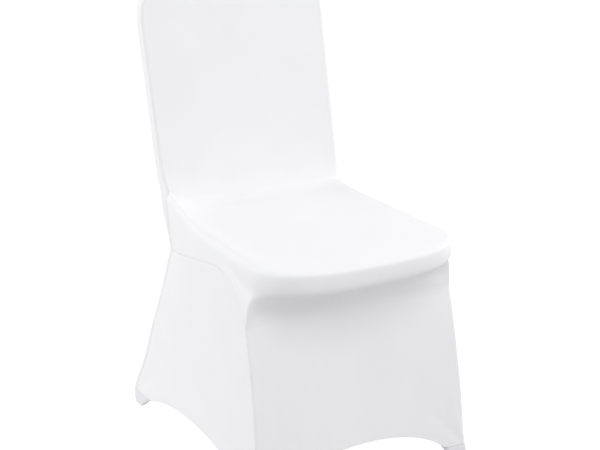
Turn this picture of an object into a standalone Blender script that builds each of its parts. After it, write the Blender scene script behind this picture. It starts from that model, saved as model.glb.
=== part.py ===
"""Fitted stretch cover for a folding chair, in the shape it takes when it is pulled over the chair.

Metres, +Z up, the front of the seat towards -Y, the floor at z = 0. The cover is hollow: a front panel, a back
panel, two side panels and four foot pockets, each a thin solid of cloth with a small gap along its seams.
The right half is at +X. Each half is worked out as if it were the right one, and the left is mirrored.
"""

from collections import namedtuple
from math import atan, cos, pi, radians, sin

import bmesh
import bpy
import numpy as np

# Cloth
CLOTH_THICKNESS = 0.0018
SEAM_GAP = 0.0004
WELD = 1e-5

# Seat
SEAT_HEIGHT = 0.4545
SEAT_CROWN = 0.003
SEAT_HALF_WIDTH = 0.212
SEAT_FRONT = -0.300
SEAT_REAR = 0.165
REAR_HALF_WIDTH = 0.198
CORNER_START = -0.165
CORNER_ROUNDNESS = 2.8
CORNER_STATION = 0.84
LIP_HEIGHT = 0.047
LIP_ABOVE_SEAM = 0.002
LIP_TUCK = 0.009
LIP_FADES_BY = 0.35
EDGE_DROP_FRONT = 0.007
EDGE_DROP_SIDE = 0.011
SEAT_LIFT_LENGTH = 0.150

# Backrest
BACK_TOP = 0.905
BACK_LEAN = 0.2315
BACK_HALF_WIDTH = 0.201
BACK_DEPTH = 0.033
BACK_BULGE = 0.0015
BACK_CORNER_START = 0.800
BACK_CORNER_ROUNDNESS = 3.0
BACK_CORNER_STATION = 0.80
JUNCTION_RADIUS = 0.046
JUNCTION_RADIUS_EDGE = 0.050

# Skirt
POCKET_HEIGHT = 0.032
SKIRT_DRAWN_IN = 0.004

# How finely the cloth is divided
FRONT_COLUMNS = 10
SIDE_COLUMNS = 14
POCKET_COLUMNS = 2
SKIRT_ROWS = 8
BACK_ROWS = 18
ROWS_BUNCHED = 0.75

Leg = namedtuple("Leg", "z x y")
RearLeg = namedtuple("RearLeg", "z x y depth")
Seam = namedtuple("Seam", "y x z")
Middle = namedtuple("Middle", "z y")
Arch = namedtuple("Arch", "middle half height power fullness")
Ring = namedtuple("Ring", "z size")
Half = namedtuple("Half", "name mirror lift lip_at_corner")
Edge = namedtuple("Edge", "y left right")
UnderRow = namedtuple("UnderRow", "share inward down")

# The two halves differ. On the left the seat's side is pulled softly up to the backrest and the lip fades early; on
# the right it stays low and the lip is full as far as the corner.
HALVES = (
    Half(name="right", mirror=1, lift=0.010, lip_at_corner=1.0),
    Half(name="left", mirror=-1, lift=0.040, lip_at_corner=0.45),
)

# The seat's rounded edge along the seat: how far in it begins on each side.
EDGES = (
    Edge(y=-0.300, left=0.006, right=0.006),
    Edge(y=-0.260, left=0.008, right=0.006),
    Edge(y=-0.200, left=0.016, right=0.008),
    Edge(y=-0.085, left=0.024, right=0.012),
    Edge(y=0.013, left=0.026, right=0.014),
    Edge(y=0.165, left=0.028, right=0.014),
)

# The crease over each front leg, from the floor to where the arc seam leaves it below the lip.
FRONT_LEG = (
    Leg(z=0.000, x=0.2290, y=-0.268),
    Leg(z=0.124, x=0.2270, y=-0.251),
    Leg(z=0.216, x=0.2240, y=-0.236),
    Leg(z=0.288, x=0.2225, y=-0.221),
    Leg(z=0.340, x=0.2210, y=-0.206),
)

# The seam over each rear leg, and the depth of the rounded strip behind it.
REAR_LEG = (
    RearLeg(z=0.000, x=0.2225, y=0.283, depth=0.010),
    RearLeg(z=0.032, x=0.2220, y=0.286, depth=0.010),
    RearLeg(z=0.100, x=0.2140, y=0.257, depth=0.010),
    RearLeg(z=0.200, x=0.2060, y=0.220, depth=0.010),
    RearLeg(z=0.300, x=0.1980, y=0.181, depth=0.011),
    RearLeg(z=0.374, x=0.1920, y=0.155, depth=0.013),
)

# The arc seam across each side, from the front leg to the waist.
SIDE_ARC = (
    Seam(y=-0.206, x=0.2210, z=0.340),
    Seam(y=-0.175, x=0.2190, z=0.386),
    Seam(y=-0.145, x=0.2175, z=0.404),
    Seam(y=-0.106, x=0.2160, z=0.418),
    Seam(y=-0.066, x=0.2150, z=0.418),
    Seam(y=-0.016, x=0.2140, z=0.409),
    Seam(y=0.049, x=0.2110, z=0.396),
    Seam(y=0.107, x=0.2040, z=0.384),
    Seam(y=0.155, x=0.1920, z=0.374),
)

# The middle of the front skirt, from the floor to its top edge below the lip.
FRONT_MIDDLE = (
    Middle(z=0.000, y=-0.2640),
    Middle(z=0.084, y=-0.2545),
    Middle(z=0.124, y=-0.2460),
    Middle(z=0.216, y=-0.2260),
    Middle(z=0.288, y=-0.2120),
    Middle(z=0.345, y=-0.2060),
)

# The rows of cloth below the lip, from the lip's lower edge: the share of the wall where the lip has faded, and how far
# inward and down each row lies where the lip is full.
UNDER_LIP = (
    UnderRow(share=0.38, inward=0.00, down=0.00),
    UnderRow(share=0.52, inward=0.50, down=0.07),
    UnderRow(share=0.68, inward=0.86, down=0.22),
    UnderRow(share=0.84, inward=0.97, down=0.55),
    UnderRow(share=1.00, inward=1.00, down=1.00),
)

# The hem's arches: along y on the sides, along x at the front and the back.
SIDE_HEM = Arch(middle=0.012, half=0.250, height=0.067, power=2.4, fullness=0.8)
END_HEM = Arch(middle=0.0, half=0.195, height=0.084, power=2.1, fullness=0.5)

# A foot pocket from its rim down to its sole, each ring's size against the rim's.
POCKET_RINGS = (
    Ring(z=POCKET_HEIGHT - SEAM_GAP / 2, size=1.00),
    Ring(z=0.020, size=1.03),
    Ring(z=0.010, size=1.05),
    Ring(z=0.004, size=1.02),
    Ring(z=0.000, size=0.90),
)


def clear_scene():
    for item in list(bpy.data.objects):
        bpy.data.objects.remove(item, do_unlink=True)


def smooth(table, key, name, at):
    """A column of a table, read along another of its columns as one smooth curve."""
    places = np.array([getattr(row, key) for row in table])
    values = np.array([getattr(row, name) for row in table])
    slopes = np.gradient(values, places)
    left = np.clip(np.searchsorted(places, at, side="right") - 1, 0, len(places) - 2)
    step = places[left + 1] - places[left]
    t = (np.asarray(at, float) - places[left]) / step
    rise = (values[left + 1] - values[left]) * t * t * (3 - 2 * t)
    return values[left] + rise + step * t * (1 - t) * ((1 - t) * slopes[left] - t * slopes[left + 1])


def points_of(x, y, z):
    return np.stack(np.broadcast_arrays(x, y, z), axis=-1).astype(float)


def blend(a, b, share):
    """a where share is 0 and b where it is 1. A list of shares goes with a list of points."""
    share = np.asarray(share, float)
    extra = max(np.ndim(a), np.ndim(b)) - share.ndim
    if share.ndim and extra > 0:
        share = share.reshape(share.shape + (1,) * extra)
    return a * (1 - share) + b * share


def ease(share):
    share = np.clip(share, 0, 1)
    return share * share * (3 - 2 * share)


def respaced(line, shares):
    """Points of a line at the given shares of its length."""
    steps = np.linalg.norm(np.diff(line, axis=0), axis=1)
    run = np.concatenate([[0], np.cumsum(steps)])
    return np.stack([np.interp(shares * run[-1], run, values) for values in line.T], axis=-1)


def patch(first, last, start, end):
    """A surface between four border lines: first and last run along its rows, start and end down its columns."""
    across = np.linspace(0, 1, len(first))[None, :, None]
    down = np.linspace(0, 1, len(start))[:, None, None]
    rows = first[None] * (1 - down) + last[None] * down
    columns = start[:, None] * (1 - across) + end[:, None] * across
    top_corners = (first[0] * (1 - across) + first[-1] * across) * (1 - down)
    bottom_corners = (last[0] * (1 - across) + last[-1] * across) * down
    return rows + columns - top_corners - bottom_corners


def drawn_in(surface, offset):
    """The surface moved by offset at its middle and by nothing at its borders."""
    down = np.sin(pi * np.linspace(0, 1, surface.shape[0]))[:, None, None]
    across = np.sin(pi * np.linspace(0, 1, surface.shape[1]))[None, :, None]
    return surface + down * across * np.array(offset)


def front_shares():
    return np.linspace(0, 1, FRONT_COLUMNS + 1)


def side_shares():
    """Where the columns of the seat's side stand along it, closer where the seat turns up into the backrest."""
    return np.concatenate([np.linspace(0, 0.93, SIDE_COLUMNS - 1), [0.968, 1.0]])


def seat_half_width(y):
    return blend(SEAT_HALF_WIDTH, REAR_HALF_WIDTH, ease((y - CORNER_START) / (SEAT_REAR - CORNER_START)) ** 2)


def seat_outline():
    """The seat's outline from above: its front, from the middle to the corner station, and its side from there."""
    turn = np.linspace(0, pi / 2, 200)
    power = 2 / CORNER_ROUNDNESS
    front_x = SEAT_HALF_WIDTH * np.sin(turn) ** power
    front_y = CORNER_START + (SEAT_FRONT - CORNER_START) * np.cos(turn) ** power
    side_y = np.linspace(CORNER_START, SEAT_REAR, 200)[1:]
    x = np.append(front_x, seat_half_width(side_y))
    outline = np.stack([x, np.append(front_y, side_y)], axis=-1)
    corner = int(len(turn) * CORNER_STATION)
    return outline[: corner + 1], outline[corner:]


def edge_inset(y, half):
    return smooth(EDGES, "y", half.name, np.clip(y, SEAT_FRONT, SEAT_REAR))


def edge_depth(y):
    return blend(EDGE_DROP_FRONT, EDGE_DROP_SIDE, ease((y - SEAT_FRONT) / 0.16))


def side_lift(x, y, half):
    """How far the seat's side rises where it is pulled up towards the backrest."""
    share = np.clip(1 - (SEAT_REAR - y) / SEAT_LIFT_LENGTH, 0, 1)
    return half.lift * share**1.5 * np.clip(np.abs(x) / REAR_HALF_WIDTH, 0, 1) ** 4


def edge_drop(x, y, half):
    """How far the rounded edge of the seat has dropped below its top."""
    outline = np.concatenate(seat_outline())
    away = np.linalg.norm(points_of(x, y, 0)[..., None, :2] - outline, axis=-1).min(axis=-1)
    inside = np.clip(1 - away / edge_inset(y, half), 0, 1)
    return edge_depth(y) * (1 - np.sqrt(1 - inside**2))


def rounded_edge(turn, half):
    """The seat's rounded edge at an angle of turn: 0 where it leaves the top, 90 degrees where it meets the side.

    Gives the line along the front, the line along the side, and the directions that point out of the seat.
    """
    front, side = seat_outline()
    outline = np.concatenate([respaced(front, front_shares()), respaced(side, side_shares())[1:]])
    along = np.gradient(outline, axis=0)
    out = np.stack([along[:, 1], -along[:, 0]], axis=-1)
    out /= np.linalg.norm(out, axis=1, keepdims=True)
    out[0] = (0, -1)
    out[-1] = (1, 0)
    x, y = outline.T
    plan = outline - out * (edge_inset(y, half) * (1 - sin(turn)))[:, None]
    height = SEAT_HEIGHT - edge_depth(y) * (1 - cos(turn)) + side_lift(x, y, half)
    edge = points_of(plan[:, 0], plan[:, 1], height)
    out = points_of(out[:, 0], out[:, 1], 0)
    corner = FRONT_COLUMNS
    return edge[: corner + 1], edge[corner:], out[: corner + 1], out[corner:]


def under_lip():
    """The top edge of the front skirt, below the lip, from the middle to the front leg."""
    share = front_shares()
    middle, corner = FRONT_MIDDLE[-1], FRONT_LEG[-1]
    y = blend(middle.y, corner.y, share**3)
    return points_of(corner.x * share, y, blend(middle.z, corner.z, share**3))


def arc_seam():
    y = np.linspace(SIDE_ARC[0].y, SIDE_ARC[-1].y, 400)
    line = points_of(smooth(SIDE_ARC, "y", "x", y), y, smooth(SIDE_ARC, "y", "z", y))
    return respaced(line, side_shares())


def wall(top, side, out, foot, lip):
    """The cloth from the seat's rounded edge down to the line foot. lip is 1 under a full lip and 0 where it has faded."""
    bottom = side - out * LIP_TUCK
    bottom[:, 2] = np.maximum(SEAT_HEIGHT - LIP_HEIGHT, foot[:, 2] + LIP_ABOVE_SEAM)
    full = side + (bottom - side) * (0.15, 0.15, 0.65)
    rows = [top, side, blend(blend(side, foot, 0.20), full, lip)]
    for row in UNDER_LIP:
        curved = blend(bottom, foot, np.full((1, 3), row.inward))
        curved[:, 2] = blend(bottom[:, 2], foot[:, 2], row.down)
        rows.append(blend(blend(side, foot, row.share), curved, lip))
    return np.array(rows)


def junction(side_end, half):
    """Where the seat turns up into the backrest, halfway round the turn, from the middle to the side."""
    shares = front_shares() ** 0.8
    half_opening = (pi / 2 + atan(BACK_LEAN)) / 2
    radius = blend(JUNCTION_RADIUS, JUNCTION_RADIUS_EDGE, shares**3)
    reach = radius * (1 / sin(half_opening) - 1)
    x = side_end[0] * shares
    y = blend(SEAT_REAR - reach * cos(half_opening), side_end[1], shares**4)
    z = SEAT_HEIGHT + reach * sin(half_opening) * (1 - shares**6)
    return points_of(x, y, z + side_lift(x, y, half) - edge_drop(x, np.minimum(y, side_end[1]), half))


def seat_top(front_edge, side_edge, rear, half):
    """The top of the seat: rows from the front edge to the junction, columns from the middle to the side."""
    middle = blend(front_edge[:1], rear[:1], side_shares()[:, None])
    top = patch(front_edge, rear, middle, side_edge)
    x, y = top[..., 0], top[..., 1]
    turn_length = 0.62 * blend(JUNCTION_RADIUS, JUNCTION_RADIUS_EDGE, front_shares() ** 3)
    turned = np.clip(1 - (rear[:, 1] - y) / turn_length, 0, 1)
    dropped = edge_drop(rear[:, 0], rear[:, 1], half) - side_lift(rear[:, 0], rear[:, 1], half)
    rise = rear[:, 2] - SEAT_HEIGHT + dropped
    crown = np.cos(pi / 2 * x / SEAT_HALF_WIDTH) * np.sin(pi * (y - SEAT_FRONT) / (SEAT_REAR - SEAT_FRONT))
    z = SEAT_HEIGHT + SEAT_CROWN * crown + rise * turned**2 + side_lift(x, y, half) - edge_drop(x, y, half)
    top[1:-1, :-1, 2] = z[1:-1, :-1]
    return top


def back_plane(z):
    return SEAT_REAR + (z - SEAT_HEIGHT) * BACK_LEAN


def back_side(z):
    """The backrest's half width at a height, with its rounded top corner."""
    share = np.clip((z - BACK_CORNER_START) / (BACK_TOP - BACK_CORNER_START), 0, 1)
    rounding = (1 - share**BACK_CORNER_ROUNDNESS) ** (1 / BACK_CORNER_ROUNDNESS)
    taper = blend(REAR_HALF_WIDTH, BACK_HALF_WIDTH, (z - SEAT_HEIGHT) / (BACK_CORNER_START - SEAT_HEIGHT))
    return taper * rounding


def back_rows():
    """Where the rows of the backrest stand up it, closer at the seat and at the top corners."""
    share = np.linspace(0, 1, BACK_ROWS + 1)
    return share - ROWS_BUNCHED * np.sin(2 * pi * share) / (2 * pi)


def back_face(bottom):
    """The front of the backrest: rows from the junction to the top, columns from the middle to the side."""
    corner_z = blend(BACK_CORNER_START, BACK_TOP, BACK_CORNER_STATION)
    side_z = blend(bottom[-1, 2], corner_z, back_rows())
    pinch = back_side(bottom[-1, 2]) - bottom[-1, 0]
    pinch = pinch * np.clip(1 - (side_z - bottom[-1, 2]) / 0.06, 0, 1) ** 2
    side = points_of(back_side(side_z) - pinch, 0.0, side_z)
    arc_z = blend(corner_z, BACK_TOP, 1 - (1 - np.linspace(0, 1, 200)) ** 2)
    arc = respaced(np.stack([back_side(arc_z), arc_z], axis=-1), 1 - front_shares())
    top = points_of(arc[:, 0], 0.0, arc[:, 1])
    middle = points_of(0.0, 0.0, blend(bottom[0, 2], BACK_TOP, back_rows()))
    face = patch(bottom * (1, 0, 1), top, middle, side)
    inset = back_plane(bottom[:, 2]) - bottom[:, 1]
    length = blend(0.042, 0.060, front_shares() ** 3)
    fading = np.clip(1 - (face[..., 2] - bottom[:, 2]) / length, 0, 1) ** 2
    face[..., 1] = back_plane(face[..., 2]) - inset * fading
    return face


def strip(seam, side, outward, rearward, depth, bulge):
    """The rounded strip behind a seam. side is where the seam would run if nothing pinched it."""
    depth = np.asarray(depth)[:, None]
    first = side + outward * bulge + rearward * depth * 0.30
    second = side + outward * bulge * 0.8 + rearward * depth * 0.72
    last = side - outward * (0.20 * depth - bulge) + rearward * depth
    return np.stack([seam, first, second, last], axis=1)


def back_strip(face):
    """The strip round the backrest, from the junction up its side and over its top to the middle."""
    seam = np.concatenate([face[:, -1], face[-1, ::-1][1:]])
    side = seam.copy()
    rows = BACK_ROWS + 1
    side[:rows, 0] = back_side(side[:rows, 2])
    lean = atan(BACK_LEAN)
    rearward = np.array([0.0, cos(lean), -sin(lean)])
    side[:, 1] = back_plane(side[:, 2])
    outward = np.cross(rearward, np.gradient(side, axis=0))
    outward /= np.linalg.norm(outward, axis=1, keepdims=True)
    outward[-1] = (0.0, sin(lean), cos(lean))
    settle = np.clip((seam[:, 2] - seam[0, 2]) / 0.06, 0, 1)[:, None]
    side[:, 1:2] = blend(seam[:, 1:2], side[:, 1:2], settle)
    rearward = blend(np.array([[0.0, 1.0, 0.0]]), rearward[None], settle)
    return strip(seam, side, outward, rearward, np.full(len(seam), BACK_DEPTH), BACK_BULGE)


def arch_height(arch, place):
    share = np.clip(np.abs(place - arch.middle) / arch.half, 0, 1)
    return arch.height * (1 - share**arch.power) ** arch.fullness


def arch_reach(arch, height):
    """How far from its middle an arch comes down to a height."""
    return arch.half * (1 - (height / arch.height) ** (1 / arch.fullness)) ** (1 / arch.power)


def leg_x(table, z):
    return smooth(table, "z", "x", z)


def leg_y(table, z):
    return smooth(table, "z", "y", z)


def rear_strip(z):
    """The rounded strip down each rear leg at heights z, its seam first and the back panel's border last."""
    depth = smooth(REAR_LEG, "z", "depth", z)
    seam = points_of(leg_x(REAR_LEG, z), leg_y(REAR_LEG, z), z)
    return strip(seam, seam, np.array([1.0, 0, 0]), np.array([0, 1.0, 0]), depth, 0.0006)


def side_at(y, z):
    """A point of the side panel near the floor."""
    share = (y - leg_y(FRONT_LEG, z)) / (leg_y(REAR_LEG, z) - leg_y(FRONT_LEG, z))
    return points_of(blend(leg_x(FRONT_LEG, z), leg_x(REAR_LEG, z), share), y, z)


def front_at(x, z):
    """A point of the front skirt near the floor."""
    share = (x / leg_x(FRONT_LEG, z)) ** 2
    return points_of(x, blend(smooth(FRONT_MIDDLE, "z", "y", z), leg_y(FRONT_LEG, z), share), z)


def rear_at(x, z):
    """A point of the rear skirt near the floor."""
    edge = rear_strip(np.atleast_1d(z))[:, -1]
    share = (x / edge[:, 0]) ** 2
    y = edge[:, 1] - SKIRT_DRAWN_IN * (1 - share)
    return points_of(x, y if np.ndim(z) else y[0], z)


RIM = POCKET_HEIGHT + SEAM_GAP / 2


def hem_places(arch, start, end, columns, pockets):
    """Places along a hem: its arch between the pocket rims, and POCKET_COLUMNS along each rim."""
    reach = arch_reach(arch, RIM)
    low = arch.middle - reach if pockets == 2 else arch.middle
    high = arch.middle + reach
    parts = [np.linspace(low, high, columns - pockets * POCKET_COLUMNS + 1)]
    parts.append(np.linspace(high, end, POCKET_COLUMNS + 1)[1:])
    if pockets == 2:
        parts.insert(0, np.linspace(start, low, POCKET_COLUMNS + 1)[:-1])
    return np.concatenate(parts)


def hem_line(point_at, arch, places):
    return point_at(places, np.maximum(arch_height(arch, places), RIM))


def side_skirt():
    """A side panel: rows from the arc seam down to the hem, columns from the front leg to the rear seam."""
    first = arc_seam()
    rows = np.linspace(0, 1, SKIRT_ROWS + 1)
    front_z = blend(FRONT_LEG[-1].z, RIM, rows)
    rear_z = blend(REAR_LEG[-1].z, RIM, rows)
    start = points_of(leg_x(FRONT_LEG, front_z), leg_y(FRONT_LEG, front_z), front_z)
    end = points_of(leg_x(REAR_LEG, rear_z), leg_y(REAR_LEG, rear_z), rear_z)
    places = hem_places(SIDE_HEM, leg_y(FRONT_LEG, RIM), leg_y(REAR_LEG, RIM), SIDE_COLUMNS, 2)
    return drawn_in(patch(first, hem_line(side_at, SIDE_HEM, places), start, end), (-SKIRT_DRAWN_IN, 0, 0))


def front_skirt(side_border):
    """The front skirt: rows from the line below the lip down to the hem, columns from the middle to the front leg."""
    rows = np.linspace(0, 1, SKIRT_ROWS + 1)
    middle_z = blend(FRONT_MIDDLE[-1].z, END_HEM.height, rows)
    middle = points_of(0.0, smooth(FRONT_MIDDLE, "z", "y", middle_z), middle_z)
    places = hem_places(END_HEM, 0.0, side_border[-1, 0], FRONT_COLUMNS, 1)
    return patch(under_lip(), hem_line(front_at, END_HEM, places), middle, side_border)


def rear_skirt(leg_strip):
    """The rear skirt: rows from the waist down to the hem, columns from the middle to the strip over the rear leg."""
    side = leg_strip[:, -1]
    share = front_shares()
    waist = points_of(side[0, 0] * share, side[0, 1] - SKIRT_DRAWN_IN * (1 - share**2), side[0, 2])
    places = hem_places(END_HEM, 0.0, side[-1, 0], FRONT_COLUMNS, 1)
    hem = hem_line(rear_at, END_HEM, places)
    middle = blend(waist[:1], hem[:1], np.linspace(0, 1, SKIRT_ROWS + 1)[:, None])
    return patch(waist, hem, middle, side)


def half_cover(half):
    """The surfaces of one half as (panel, grid of points)."""
    front_top, side_top, front_out, side_out = rounded_edge(radians(45), half)
    front_side, side_side, front_out, side_out = rounded_edge(radians(90), half)
    front_lip = blend(1.0, half.lip_at_corner, ease(front_shares() * 2 - 1))
    side_lip = half.lip_at_corner * (1 - ease(side_shares() / LIP_FADES_BY))
    front_wall = wall(front_top, front_side, front_out, under_lip(), front_lip)
    side_wall = wall(side_top, side_side, side_out, arc_seam(), side_lip)
    front_wall[:, -1] = side_wall[:, 0]

    rear = junction(side_top[-1], half)
    rear[-1] = side_top[-1]
    face = back_face(rear)
    round_back = back_strip(face)
    rows = BACK_ROWS + 1
    back_top = round_back[rows - 1 :, -1][::-1]
    back_edge = round_back[:rows, -1]

    seam = side_wall[:, -1]
    waist_up = (seam[:, 2] - seam[-1, 2]) / (seam[0, 2] - seam[-1, 2])
    side = seam.copy()
    side[:, 0] = blend(seam[-1, 0], back_side(seam[0, 2]), ease(waist_up * 1.3))
    depth = blend(REAR_LEG[-1].depth, BACK_DEPTH, ease(waist_up))
    upright = np.array([1.0, 0, 0]), np.array([0, 1.0, 0])
    waist_strip = strip(seam, side, *upright, depth, blend(0.0006, BACK_BULGE, waist_up)[:, None])
    waist_strip[0] = round_back[0]

    skirt = side_skirt()
    leg_z = blend(REAR_LEG[-1].z, RIM, np.linspace(0, 1, SKIRT_ROWS + 1))
    leg_strip = rear_strip(leg_z)
    waist_strip[-1] = leg_strip[0]
    rear_lower = rear_skirt(leg_strip)

    back_middle = np.array([0.0, SEAT_REAR + BACK_DEPTH, SEAT_HEIGHT])
    bottom_row = blend(back_middle[None], back_edge[:1], front_shares()[:, None] ** 2)
    bottom_row[:, 0] = back_edge[0, 0] * front_shares()
    middle_z = blend(back_middle[2], back_top[0, 2], back_rows())
    middle_y = blend(back_middle[1], back_top[0, 1], back_rows())
    back = patch(bottom_row, back_top, points_of(0.0, middle_y, middle_z), back_edge)
    count = len(seam)
    waist_middle = blend(bottom_row[:1], rear_lower[0, :1], np.linspace(0, 1, count)[:, None])
    waist_middle[:, 1] = blend(bottom_row[0, 1], rear_lower[0, 0, 1], ease(np.linspace(0, 1, count)))
    waist = patch(bottom_row, rear_lower[0], waist_middle, waist_strip[:, -1])

    return (
        ("front_panel", seat_top(front_top, side_top, rear, half)),
        ("front_panel", front_wall),
        ("front_panel", side_wall),
        ("front_panel", face),
        ("front_panel", front_skirt(skirt[:, 0])),
        ("side_panel", skirt),
        ("back_panel", round_back),
        ("back_panel", waist_strip),
        ("back_panel", leg_strip),
        ("back_panel", back),
        ("back_panel", waist),
        ("back_panel", rear_lower),
    )


def panel_names():
    return ("front_panel", "back_panel", "side_panel_left", "side_panel_right")


def whole_cover():
    """One surface of the whole cover, its panels told apart by a number on each face."""
    shell = bmesh.new()
    owner = shell.faces.layers.int.new("panel")
    for half in HALVES:
        for panel, grid in half_cover(half):
            name = panel + "_" + half.name if panel == "side_panel" else panel
            made = [[shell.verts.new(point * (half.mirror, 1, 1)) for point in row] for row in grid]
            for upper, lower in zip(made, made[1:]):
                for corner in range(len(upper) - 1):
                    loop = (upper[corner], upper[corner + 1], lower[corner + 1], lower[corner])
                    face = shell.faces.new(loop[:: half.mirror])
                    face[owner] = panel_names().index(name)
    bmesh.ops.remove_doubles(shell, verts=shell.verts, dist=WELD)
    bmesh.ops.triangulate(shell, faces=shell.faces, quad_method="SHORT_EDGE")
    bmesh.ops.recalc_face_normals(shell, faces=shell.faces)
    highest = max(shell.faces, key=lambda face: face.calc_center_median().z)
    if highest.normal.z < 0:
        bmesh.ops.reverse_faces(shell, faces=shell.faces)
    shell.normal_update()
    shell.verts.index_update()
    return shell, owner


def seam_shift(vertex, number, owner):
    """How a corner of a panel stands back from the seams that meet there, by half the gap from each."""
    back = []
    for edge in vertex.link_edges:
        own = [face for face in edge.link_faces if face[owner] == number]
        if len(own) == 1 and len(edge.link_faces) == 2:
            line = edge.other_vert(vertex).co - vertex.co
            into = own[0].calc_center_median() - vertex.co
            into -= line * (into.dot(line) / line.length_squared)
            back.append(into.normalized())
    if not back:
        return vertex.co * 0
    return (back[0] + back[-1]) * (SEAM_GAP / 2) / max(1 + back[0].dot(back[-1]), 0.5)


def panel_solid(name, shell, owner, material):
    """The panel of that name as a closed solid: its faces, the same faces one thickness in, and the edge between."""
    number = panel_names().index(name)
    faces = [face for face in shell.faces if face[owner] == number]
    solid = bmesh.new()
    outer, inner = {}, {}
    for vertex in {vertex for face in faces for vertex in face.verts}:
        place, inward = vertex.co + seam_shift(vertex, number, owner), -vertex.normal
        if vertex.is_boundary:
            inward.z = 0
            inward.normalize()
        outer[vertex] = solid.verts.new(place)
        inner[vertex] = solid.verts.new(place + inward * CLOTH_THICKNESS)
    for face in faces:
        solid.faces.new([outer[vertex] for vertex in face.verts])
        solid.faces.new([inner[vertex] for vertex in reversed(face.verts)])
        for loop in face.loops:
            if sum(other[owner] == number for other in loop.edge.link_faces) == 1:
                start, end = loop.vert, loop.link_loop_next.vert
                if start.index < end.index:
                    solid.faces.new((outer[end], outer[start], inner[end]))
                    solid.faces.new((outer[start], inner[start], inner[end]))
                else:
                    solid.faces.new((outer[end], outer[start], inner[start]))
                    solid.faces.new((outer[end], inner[start], inner[end]))
    return object_of(name, solid, material)


def object_of(name, solid, material):
    mesh = bpy.data.meshes.new(name)
    solid.to_mesh(mesh)
    solid.free()
    mesh.materials.append(material)
    mesh.shade_smooth()
    mesh.set_sharp_from_angle(angle=radians(50))
    made = bpy.data.objects.new(name, mesh)
    bpy.context.scene.collection.objects.link(made)
    return made


def pocket_ring(end, ring):
    """The outline of a foot pocket at one height: round the outer corner, then back inside the leg."""
    z = ring.z
    along = arch_reach(SIDE_HEM, z)
    across = arch_reach(END_HEM, z)
    if end == "front":
        corner = side_at(leg_y(FRONT_LEG, z), z)[None]
        side_end = side_at(SIDE_HEM.middle - along, z)
        face_end = front_at(across, z)
    else:
        corner = rear_strip(np.array([z]))[0]
        side_end = side_at(SIDE_HEM.middle + along, z)
        face_end = rear_at(across, z)
    inner = side_end + face_end - corner.mean(axis=0)
    outline = [side_end, blend(side_end, corner[0], 0.5), *corner, blend(corner[-1], face_end, 0.5), face_end]
    for turn in (0.25, 0.5, 0.75):
        outline.append(blend(blend(face_end, inner, turn), blend(inner, side_end, turn), turn))
    outline = np.array(outline)
    centre = outline.mean(axis=0)
    return centre + (outline - centre) * (ring.size, ring.size, 1)


def moved_in(outline, distance):
    """A closed outline with each point moved in by a distance, in plan."""
    along = np.roll(outline, -1, axis=0) - np.roll(outline, 1, axis=0)
    inward = np.stack([-along[:, 1], along[:, 0], np.zeros(len(along))], axis=-1)
    inward /= np.linalg.norm(inward, axis=1, keepdims=True)
    area = np.sum(outline[:, 0] * np.roll(outline[:, 1], -1) - outline[:, 1] * np.roll(outline[:, 0], -1))
    return outline + inward * distance * np.sign(area)


def pocket_solid(end, side, material):
    mirror = 1 if side == "right" else -1
    outer = [pocket_ring(end, ring) for ring in POCKET_RINGS]
    inner = [moved_in(outline, CLOTH_THICKNESS) for outline in outer[:-1]]
    inner[-1][:, 2] = CLOTH_THICKNESS
    solid = bmesh.new()
    rings = [[solid.verts.new(point * (mirror, 1, 1)) for point in outline] for outline in inner[::-1] + outer]
    count = len(rings[0])
    for upper, lower in zip(rings, rings[1:]):
        for i in range(count):
            solid.faces.new((upper[i], upper[(i + 1) % count], lower[(i + 1) % count], lower[i]))
    solid.faces.new(rings[0])
    solid.faces.new(rings[-1][::-1])
    bmesh.ops.recalc_face_normals(solid, faces=solid.faces)
    bmesh.ops.triangulate(solid, faces=[face for face in solid.faces if len(face.verts) > 4])
    return object_of(f"foot_pocket_{end}_{side}", solid, material)


def cloth_material(name, colour, roughness):
    material = bpy.data.materials.new(name)
    material.use_nodes = True
    shader = material.node_tree.nodes["Principled BSDF"]
    shader.inputs["Base Color"].default_value = (*colour, 1.0)
    shader.inputs["Roughness"].default_value = roughness
    shader.inputs["Metallic"].default_value = 0.0
    return material


def main():
    clear_scene()
    shell, owner = whole_cover()
    for name in panel_names():
        panel_solid(name, shell, owner, cloth_material(f"white stretch cloth, {name}", (0.86, 0.86, 0.87), 0.75))
    shell.free()
    for end in ("front", "rear"):
        for side in ("left", "right"):
            doubled = cloth_material(f"doubled white stretch cloth, {end} {side}", (0.80, 0.80, 0.82), 0.80)
            pocket_solid(end, side, doubled)


if __name__ == "__main__":
    main()
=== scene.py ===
"""The look of a white stretch chair cover: knitted cloth, sewn seams, stitched hems and foot pockets.

Metres, +Z up, the front of the seat towards -Y. The cloth is one surface that is worked out a half at a time, made
finer and given its folds, and then cut into the panels that a maker sews together.
"""

from collections import namedtuple
from math import atan, cos, pi, radians, sin

import bmesh
import bpy
import numpy as np
from bpy.props import FloatProperty, FloatVectorProperty, PointerProperty
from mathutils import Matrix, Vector, noise
from mathutils.bvhtree import BVHTree
from mathutils.kdtree import KDTree


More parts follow.
